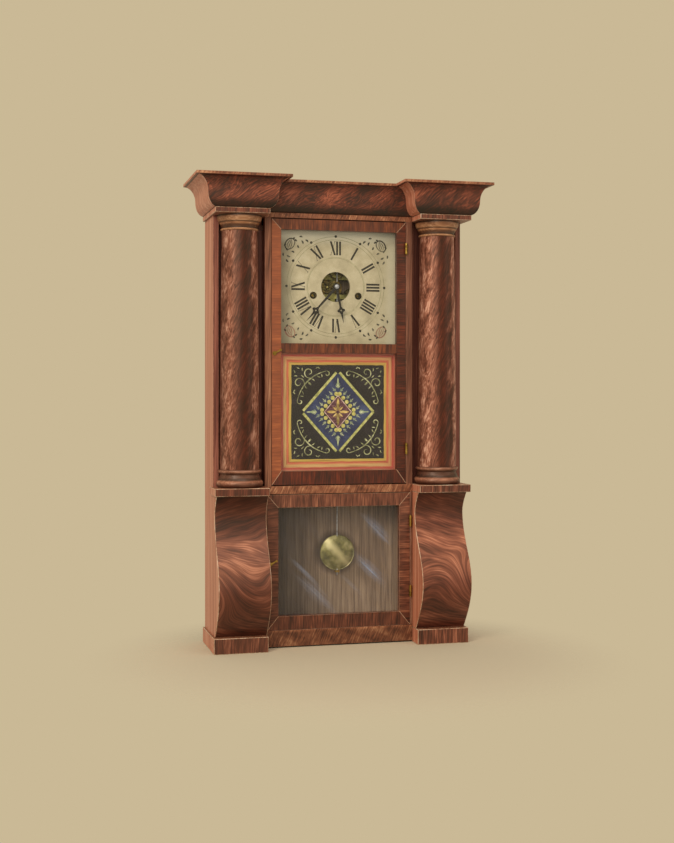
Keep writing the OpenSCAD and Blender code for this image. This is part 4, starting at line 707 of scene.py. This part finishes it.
def curlPath(anchor, heading, length, turn, steps=18):
    # a curl: a path whose heading changes evenly more and more, summed step by step from the anchor
    share = np.linspace(0, 1, steps)
    angle = math.radians(heading) + math.radians(turn) * share ** 1.5
    step = np.stack([np.cos(angle), np.sin(angle)], 1) * length / steps
    return np.asarray(anchor, float) + np.cumsum(step, 0)


def fromCorner(points, centre, half, quarter):
    # points counted inwards from a corner of a field: the centre plus the quarter's signs times the
    # half size less the point
    return centre + np.array(quarter) * (np.array(half) - np.asarray(points, float))


def ribbonPiece(name, strips, look, depth, body, slotName):
    # each strip has four points a station, left and right at the front and at the back, and
    # neighbouring stations are joined by four faces, with a face closing each end
    points, faces, count = [], [], 0
    for left, right in strips:
        rows = len(left)
        corners = [np.insert(edge, 1, y, axis=1) for edge, y in (
            (left, depth[0]), (right, depth[0]), (right, depth[1]), (left, depth[1]))]
        points.append(np.stack(corners, 1).reshape(-1, 3))
        ends = np.array([[0, 1, 2, 3], [3, 2, 1, 0] + np.array(4 * (rows - 1))])
        faces += [gridFaces(rows, 4) + count, ends + count]
        count += rows * 4
    newPiece(name, np.concatenate(points), faces, look, body, slotName)


# Dial: Roman numerals that stand outwards, a ring each side of them, a dot at each hour
dialPrint = {"numerals": (58.5, 83.0), "thick": 1.75, "thin": 0.35, "serif": 0.35,
             "rings": ((53.0, 0.4), (54.6, 0.25), (86.2, 0.4), (92.0, 0.4)), "dot": 2.4, "dotRing": 92.4,
             "wide": {"I": 5.6, "V": 10.2, "X": 10.6}, "lift": (27.92, 27.99)}
romanHours = ["XII", "I", "II", "III", "IIII", "V", "VI", "VII", "VIII", "IX", "X", "XI"]
dialPiece = partial(ribbonPiece, depth=dialPrint["lift"], body="case", slotName="dial_paint")


def numeralStrips(look):
    # strokes of each letter as (sideways, outwards) pairs, placed along the hour's direction and
    # across it: point = centre + outward * u + clockwise * v
    low, high = look["numerals"]
    thick, thin, serif = look["thick"], look["thin"], look["serif"]
    letters = {
        "I": [((0, low), (0, high), thick), ((-2, low), (2, low), serif), ((-2, high), (2, high), serif)],
        "V": [((-3.6, high), (0.2, low), thick), ((3.8, high), (0.9, low), thin),
              ((-5.4, high), (-1.8, high), serif), ((2.2, high), (5.2, high), serif)],
        "X": [((-3.8, high), (3.8, low), thick), ((3.8, high), (-3.8, low), thin),
              ((-5.6, high), (-2, high), serif), ((2.4, high), (5.4, high), serif),
              ((-5.4, low), (-2.4, low), serif), ((2, low), (5.6, low), serif)]}
    strips = []
    for hour, word in enumerate(romanHours):
        outward, clockwise = direction(90 - 30 * hour), direction(-30 * hour)
        place = -sum(look["wide"][c] for c in word) / 2
        for c in word:
            place += look["wide"][c] / 2
            for start, end, half in letters[c]:
                ends = np.array([start, end], float) + [place, 0]
                strips.append(strokeEdges(handsAt + ends[:, :1] * clockwise + ends[:, 1:] * outward, half))
            place += look["wide"][c] / 2
    return strips


hourDots = [discEdges(handsAt + dialPrint["dotRing"] * direction(90 - 30 * hour), dialPrint["dot"])
            for hour in range(12)]
dialPiece("dialNumerals", numeralStrips(dialPrint) + hourDots, "numeralInk")
dialPiece("dialRings", [ringEdges(handsAt, *ring) for ring in dialPrint["rings"]], "ringInk")

# Corner ornaments of the dial: a shell with sprigs beside it, the lower shells in a redder paint.
# A sprig is its start, heading, length and turn
corners = {
    "field": ((0, 648.3), (106, 100.5)), "shell": (20, 21), "size": 11, "oval": 0.72,
    "turned": [[0.8, 0.6], [-0.6, 0.8]], "veins": (-0.45, 0.0, 0.45), "sprigs": (
        ((41, 14), 40, 8, 60), ((35, 22), 100, 7, -80), ((48, 13), 10, 8, 70), ((37, 8), -20, 7, 60),
        ((30, 9), 150, 6, -40), ((34, 16), 200, 6, 50), ((14, 41), 50, 8, -60), ((22, 35), -10, 7, 80),
        ((13, 48), 80, 8, -70), ((8, 37), 110, 7, -60), ((9, 26), 300, 6, 40), ((16, 34), 250, 6, -50))}


def cornerStrips(look, quarter):
    # one corner's shell, an oval with three veins that bend as the sine of the way along, all turned
    # together, and its sprigs
    size = look["size"]
    place = lambda path: fromCorner(path, *look["field"], quarter)
    turned = lambda across, up: place(look["shell"] + np.stack([across, up], 1) @ np.array(look["turned"]))
    turn, along = np.linspace(0, 2 * np.pi, 30), np.linspace(0, 1, 9)
    shell = [brushEdges(turned(np.cos(turn) * size * look["oval"], np.sin(turn) * size), 1.3, 0.6)]
    for lean in look["veins"]:
        across = (1.22 * along - 0.6) * size * 0.35 + lean * size * np.sin(2.6 * along) * 0.8
        shell.append(brushEdges(turned(across, (1.6 * along - 0.8) * size), 0.65))
    return shell, [brushEdges(place(curlPath(*sprig, 12)), 1.6) for sprig in look["sprigs"]]


painted = [cornerStrips(corners, quarter) for quarter in quarters]
dialPiece("dialShells", painted[2][0] + painted[3][0], "shellTint")
dialPiece("dialSprigs", sum([sprigs for shell, sprigs in painted], []) + painted[0][0] + painted[1][0], "sprayInk")
print("dial printed")


# Tablet: painted on the back of its pane. Bands of colour round a dark ground, a lozenge with a
# star in it, rays and a row of dots, and a spray in each corner. Of two depths the first is nearer
tablet = {"centre": (0, 422.4), "field": (87, 85.5), "lozenge": (67, 75), "inner": (25.4, 29.8),
          "band": 4.6, "bandStart": {-1: 0.03, 1: 0.0}, "bandEnd": 0.955, "outlineHalf": 0.6,
          "dots": (33, 36.4), "dotRadius": 3.7, "bandsWide": 24.0, "redder": (84.0, 100.0), "blueInset": 4,
          "blueFrom": 0.5, "front": (12.02, 12.06), "ground": (12.08, 12.25), "maroon": (12.05, 12.075),
          "outline": (12.01, 12.04), "star": (12.0, 12.03), "paneInset": 0.3}
middle = np.array(tablet["centre"])
tabletPiece = partial(ribbonPiece, depth=tablet["front"], body="upper_door", slotName="painted_glass")


def groundMaterial(name):
    # Oil paint seen through glass: bands told apart by the distance from the field's edge, with
    # the brush's unevenness, and a blue lozenge on black that has gone brown in places
    material, add = startMaterial(name)
    plain = objectPlace(add)
    sway = add("MapRange", add("TexNoise", plain, 60.0, 3.0), 0.3, 0.7, -0.5, 0.5, clamp=False)
    x, y, z = add("SeparateXYZ", scaled(add, (1, 1, 1), 0, (0, 0, middle[1]))).node.outputs
    sideways, upward = add("Math ABSOLUTE", x), add("Math ABSOLUTE", z)
    outSide = add("Math SUBTRACT", sideways, tablet["field"][0])
    outUp = add("Math SUBTRACT", upward, tablet["field"][1])
    out = add("Math ADD", add("Math MAXIMUM", outSide, outUp), sway)
    bands = add("ValToRGB", add("MapRange", out, 0.0, tablet["bandsWide"]), stops=[
        (0.02, "#c3aa52"), (0.17, "#c8a854"), (0.24, "#c85a46"), (0.33, "#cf7c58"), (0.45, "#d4b070"),
        (0.58, "#d4aa74"), (0.66, "#c04c40"), (0.76, "#c66a58"), (0.88, "#b88a6c"), (1.0, "#a07c60")])
    # thin paint shows the brush's streaks, which run along each side, and more red at the top and right
    streaks = [add("TexNoise", scaled(add, sizes), 1.0, 2.0) for sizes in ((70, 4, 2.2), (2.2, 4, 70))]
    streak = add("Mix", add("Math GREATER_THAN", outSide, outUp), *streaks)
    thin = add("ValToRGB", streak, stops=[(0.36, "#d4c4bc"), (0.50, "#f4f0ec"), (0.64, "#ffffff")])
    bands = add("Mix", 1.0, bands, thin, **multiply)
    redder = add("MapRange", add("Math MAXIMUM", x, z), *tablet["redder"], 0.0, 0.55)
    bands = add("Mix", add("Math MULTIPLY", redder, streak), bands, toLinear("#c8443c"), **blend)
    blotch = add("TexNoise", plain, 30.0, 5.0, 0.65)
    black = add("ValToRGB", blotch, stops=[(0.35, "#09060c"), (0.55, "#120d17"), (0.72, "#2a222e")])
    blue = add("ValToRGB", blotch, stops=[(0.35, "#1a2044"), (0.52, "#283258"), (0.7, "#404c72")])
    # inside a lozenge the distances over its half sizes add up to less than one
    near = add("Math ADD", *(add("Math DIVIDE", value, size - tablet["blueInset"])
                             for value, size in zip((sideways, upward), tablet["lozenge"])))
    inner = add("Math GREATER_THAN", near, tablet["blueFrom"])
    inBlue = add("Math MULTIPLY", add("Math LESS_THAN", near, 1.0), inner)
    ground = add("Mix", inBlue, black, blue, **blend)
    colour = add("Mix", add("Math LESS_THAN", out, 0.0), bands, ground, **blend)
    add("OutputMaterial", add("BsdfPrincipled", named={"Base Color": colour, "Roughness": 0.45, "IOR": 1.48}))
    return material


def lozengeSide(size, quarter, start, end, half):
    # one side of a lozenge, from its side corner to its top or bottom corner, cut to a share of its length
    share = np.linspace(start, end, 12)[:, None]
    return strokeEdges(middle + np.hstack([1 - share, share]) * size * quarter, half)


# Strokes as lean, length and half width: a tuft of them at each place along the dots, and a
# tuft of longer ones past each corner
rayLook = {"places": (0.10, 0.90, 6), "out": 1.14, "tuft": ((-24, 6.5, 0.4), (0, 10.5, 0.6), (24, 6.5, 0.4)),
           "past": 6, "corner": ((-34, 8, 0.5), (-16, 11, 0.5), (0, 20, 1.3), (16, 11, 0.5), (34, 8, 0.5))}


def rayStrips(look):
    # brush strokes that start just outside the row of dots and point outwards, bending as they go
    strips = []
    rows = np.array(tablet["dots"])
    for right, up in quarters:
        outward = math.degrees(math.atan2(up * rows[0], right * rows[1]))
        for share in np.linspace(*look["places"]):
            base = middle + rows * (right * (1 - share), up * share) * look["out"]
            for lean, length, half in look["tuft"]:
                strips.append(brushEdges(curlPath(base, outward + lean, length, 8 * right, 8), half))
    for angle in (90, -90, 0, 180):
        base = middle + direction(angle) * (rows + look["past"])
        for lean, length, half in look["corner"]:
            strips.append(brushEdges(curlPath(base, angle + lean, length, 0.4 * lean, 10), half))
    return strips


# The star's rays start at its hub: their angles, length and half width
starLook = {"hub": 2.5, "rays": (((90, -90), 25, 2.6), ((0, 180), 21, 2.4), ((45, 135, -45, -135), 13, 1.4),
                                 ((66, 114, -66, -114), 12, 0.5))}


def starStrips(look):
    # straight rays: middle + direction times every distance from the hub to the length
    return [brushEdges(middle + np.linspace(look["hub"], length, 10)[:, None] * direction(angle), half, 0.05)
            for angles, length, half in look["rays"] for angle in angles]


# The corner spray, as points counted inwards from the field's corner. Curls are the centre, the
# first and last radius and angle and the steps of a spiral, leaves the start, heading, length and
# turn of a stroke, and brushes the widest half width and the thin end's share
sprayLook = {"stem": {"place": 38, "reach": 27, "bow": 8, "brush": (1.1, 0.5)},
             "curls": (((66.5, 16.2), (5.4, 1.8), (-106, 184), 30), ((14, 33), (11, 2.5), (46, -364), 44)),
             "leaves": (((30, 31), 45, 9, 0), ((37, 25), 20, 8, 40), ((47, 19), 40, 8, -30), ((56, 16), 70, 7, 30),
                        ((24, 24), 225, 8, 0), ((21, 12), 250, 7, 40), ((45, 8), 300, 6, 60),
                        ((54, 7), 200, 6, 60), ((7, 16), 260, 7, -30)),
             "curlBrush": (0.95, 0.4), "leafBrush": (0.8, 0.12)}


def sprayStrips(look):
    # a stem along the lozenge's side that bows towards the corner as one less the square of the way
    # along, a curl at each of its ends, two spirals in the corner and leaves, all but the stem
    # twice: as given and with their two coordinates changed over
    along = np.linspace(-1, 1, 30)
    stem = look["stem"]
    bow = stem["place"] - stem["bow"] * (1 - along ** 2)
    marks = [(arc(centre, np.linspace(*radii, steps), np.radians(np.linspace(*turn, steps))), *look["curlBrush"])
             for centre, radii, turn, steps in look["curls"]]
    marks += [(curlPath(*leaf, 9), *look["leafBrush"]) for leaf in look["leaves"]]
    marks = [(shape, *brush) for path, *brush in marks for shape in (path, path[:, ::-1])]
    marks = [(np.stack([bow + stem["reach"] * along, bow - stem["reach"] * along], 1), *stem["brush"]), *marks]
    return [brushEdges(fromCorner(path, middle, tablet["field"], quarter), *brush)
            for quarter in quarters for path, *brush in marks]


finish["tabletGround"] = groundMaterial("tabletGround")
paneLow, paneHigh = (np.array(corner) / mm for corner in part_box("tablet_glass"))
inset = np.array([1, -1]) * tablet["paneInset"]
paneX, paneZ = (np.array([paneLow[axis], paneHigh[axis]]) + inset for axis in (0, 2))
ground = [np.stack([np.full(2, x), paneZ], 1) for x in paneX]
bandSides = [lozengeSide(tablet["lozenge"], q, tablet["bandStart"][q[0]], tablet["bandEnd"], tablet["band"] / 2)
             for q in quarters]
dots = [discEdges(middle + np.array(q) * tablet["dots"] * (1 - share, share), tablet["dotRadius"], 12)
        for q in quarters for share in np.linspace(0.10, 0.90, 5)]
maroon = [middle + np.array([[-1, 0], [0, up], [1, 0]]) * tablet["inner"] for up in (1, -1)]
outline = [lozengeSide(tablet["inner"], q, 0.0, 1.0, tablet["outlineHalf"]) for q in quarters]
tabletPiece("tabletGround", [ground], "tabletGround", depth=tablet["ground"])
tabletPiece("tabletBand", bandSides, "goldLine")
tabletPiece("tabletRays", rayStrips(rayLook), "rayPaint")
tabletPiece("tabletDots", dots, "yellowDot")
tabletPiece("tabletMaroon", [maroon], "maroonPaint", depth=tablet["maroon"])
tabletPiece("tabletOutline", outline, "pinkLine", depth=tablet["outline"])
tabletPiece("tabletStar", starStrips(starLook), "starPaint", depth=tablet["star"])
tabletPiece("tabletSprays", sprayStrips(sprayLook), "sprayPaint")
print("tablet painted")


# Cords: three strands of linen twisted together. The reaches are the radii at which a cord's middle
# lies on its drum or pulley
cordLook = {"radius": 1.0, "twist": 7.0, "strand": 0.14, "sides": 12, "drum": (42.5, 635), "drumReach": 8.9,
            "pulley": (152.9, 760.5), "pulleyReach": 13.3, "weightPulley": (179.5, 240.3), "y": 62.5,
            "knotZ": 762.0, "knotSize": 3.6, "knotRidge": 0.12, "rise": 445,
            "points": {"run": 120, "overPulley": 26, "end": 4, "fall": 240, "loop": 40}}


def cordPiece(name, path, body):
    # a tube whose radius swells three times round, turned by the twist along its length; each ring
    # stands square to the path, which lies in one plane: ring = path + normal * r cos + y * r sin
    path = np.asarray(path, float)
    travel = np.gradient(path, axis=0)
    travel /= np.linalg.norm(travel, axis=1, keepdims=True)
    run = np.concatenate([[0], np.cumsum(np.linalg.norm(np.diff(path, axis=0), axis=1))])[:, None]
    sides, y = cordLook["sides"], cordLook["y"]
    around = np.linspace(0, 2 * np.pi, sides, endpoint=False)
    swell = 0.5 - 0.5 * np.cos(3 * around - 2 * np.pi * run / cordLook["twist"])
    radius = cordLook["radius"] * (1 - cordLook["strand"] * swell)
    points = np.stack([path[:, :1] - travel[:, 1:] * radius * np.cos(around), y + radius * np.sin(around),
                       path[:, 1:] + travel[:, :1] * radius * np.cos(around)], 2).reshape(-1, 3)
    middles = np.insert(path[[0, -1]], 1, y, axis=1)
    side, last = np.arange(sides), len(points) - sides
    after = (side + 1) % sides
    startFan = np.stack([np.full(sides, len(points)), side, after], 1)
    endFan = np.stack([np.full(sides, len(points) + 1), last + after, last + side], 1)
    return newPiece(name, np.concatenate([points, middles]), [gridFaces(len(path), sides), startFan, endFan],
                    "twistedLinen", body, "cord", rounded=True)


for sideName, sign in (("left", -1), ("right", 1)):
    drum, pulley, weightPulley = (np.array(cordLook[key]) for key in ("drum", "pulley", "weightPulley"))
    drumReach, pulleyReach, counts = (cordLook[key] for key in ("drumReach", "pulleyReach", "points"))
    mirrored = np.array([sign, 1])
    # the cord leaves the drum along the line that touches drum and pulley on opposite sides
    toPulley = pulley - drum
    apart = np.linalg.norm(toPulley)
    leave = math.atan2(toPulley[1], toPulley[0]) - math.acos((pulleyReach + drumReach) / apart)
    start = arc(drum, drumReach, np.array([leave]))
    overPulley = arc(pulley, pulleyReach, np.linspace(leave + math.pi, 0, counts["overPulley"]))
    straight = start + (overPulley[0] - start) * np.linspace(0, 1, counts["run"])[:, None]
    runPiece = cordPiece("cordRun_" + sideName, np.concatenate([straight[:-1], overPulley]) * mirrored, "case")
    top, foot = pulley[1], weightPulley[1]
    farX = weightPulley[0] + pulleyReach
    stub = np.linspace((farX, top), (farX, cordLook["knotZ"] + 1), counts["end"])
    cordPiece("cordEnd_" + sideName, stub * mirrored, "case")
    falls = []
    for strandName, x in (("inner", weightPulley[0] - pulleyReach), ("outer", farX)):
        line = np.linspace((x, foot), (x, top), counts["fall"])
        falls.append(cordPiece("cordFall_" + strandName + "_" + sideName, line * mirrored, "case"))
        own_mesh(falls[-1])
    loop = arc(weightPulley, pulleyReach, np.linspace(math.pi, 2 * math.pi, counts["loop"]))
    cordPiece("cordLoop_" + sideName, loop * mirrored, "weight_" + sideName)
    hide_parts("cord_fall_" + sideName)
    # the knot: a ball of cord drawn tight, its surface wound by three slanting ridges
    around, up = np.meshgrid(np.linspace(0, 2 * np.pi, 24, endpoint=False), np.linspace(0, np.pi, 13))
    ridges = cordLook["knotRidge"] * (0.5 + 0.5 * np.cos(3 * around + 4 * up)) * np.sin(up)
    size = cordLook["knotSize"] / 2 * (1 - ridges)
    ball = np.stack([sign * farX + size * np.sin(up) * np.cos(around),
                     cordLook["y"] + size * np.sin(up) * np.sin(around),
                     cordLook["knotZ"] + size * np.cos(up)], 2).reshape(-1, 3)
    newPiece("cordKnot_" + sideName, ball, [gridFaces(*up.shape)], "twistedLinen", "case", "cord", rounded=True)
    if sign < 0:
        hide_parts("cord_runs")
print("cords laid")


# Floor: a pale round board that fades out before its edge, so the backdrop takes over unseen
floorLook = {"radius": 1.5, "sides": 64, "fade": (0.22, 0.50), "nearer": 0.14, "colour": "#c7baa0",
             "backdrop": "#cab996", "sky": "#f1ece2"}
ringAngle = np.linspace(0, 2 * np.pi, floorLook["sides"] + 1)[:-1]
floorPoints = np.stack([np.cos(ringAngle), np.sin(ringAngle), 0 * ringAngle], 1) * floorLook["radius"]
floorMesh = bpy.data.meshes.new("floor")
floorMesh.from_pydata(floorPoints.tolist(), [], [list(range(floorLook["sides"]))])
# Matt painted board: it spreads the light evenly, with no shine
matBoard, add = startMaterial("matBoard")
away = add("VectorMath LENGTH", add("VectorMath ADD", objectPlace(add), (0.0, floorLook["nearer"], 0.0)))
fade = add("MapRange", away, *floorLook["fade"], 1.0, 0.0, **smooth)
board = add("BsdfDiffuse", toLinear(floorLook["colour"]))
add("OutputMaterial", add("MixShader", fade, add("BsdfTransparent"), board))
floorMesh.materials.append(matBoard)
floor = bpy.data.objects.new("floor", floorMesh)
scene.collection.objects.link(floor)

# Light: one broad lamp high on the left, one near the camera, and fills from the right and above
world = bpy.data.worlds.new("studio")
scene.world = world
world.use_nodes = True
world.node_tree.nodes.clear()
add = partial(addNode, world.node_tree)
rays = add("LightPath").node.outputs
seen = add("Math ADD", rays["Is Camera Ray"], rays["Is Glossy Ray"])
seen = add("Math ADD", seen, rays["Is Transmission Ray"], use_clamp=True)
backdrop = add("Background", toLinear(floorLook["backdrop"]), 1.0)
add("OutputWorld", add("MixShader", seen, add("Background", toLinear(floorLook["sky"]), 0.5), backdrop))

# Each lamp is its place, what it looks at, its size, power and colour
lamps = {
    "keyLamp": ((-1.9, -2.0, 1.8), (0, 0, 0.45), (0.9, 1.6), 50, "#fff4e4"),
    "frontLamp": ((-0.9, -2.7, 1.1), (0, 0, 0.45), (1, 1), 14, "#fff6e8"),
    "fillLamp": ((2.1, -1.6, 0.8), (0.05, 0, 0.45), (1.4, 1.8), 9, "#fff4e8"),
    "topLamp": ((0.1, -1.2, 2.4), (0, 0, 0.5), (1.2, 1.2), 14, "#fff8ee")}
for name, (place, aim, size, power, colour) in lamps.items():
    data = bpy.data.lights.new(name, "AREA")
    data.shape = "RECTANGLE"
    data.size, data.size_y = size
    data.energy = power
    data.color = toLinear(colour)[:3]
    light = bpy.data.objects.new(name, data)
    light.location = place
    east, north, rise = np.array(aim) - place
    climb, compass = math.atan2(rise, math.hypot(east, north)), math.atan2(north, east)
    light.rotation_euler = (math.pi / 2 + climb, 0, compass - math.pi / 2)
    scene.collection.objects.link(light)
print("floor and light set")
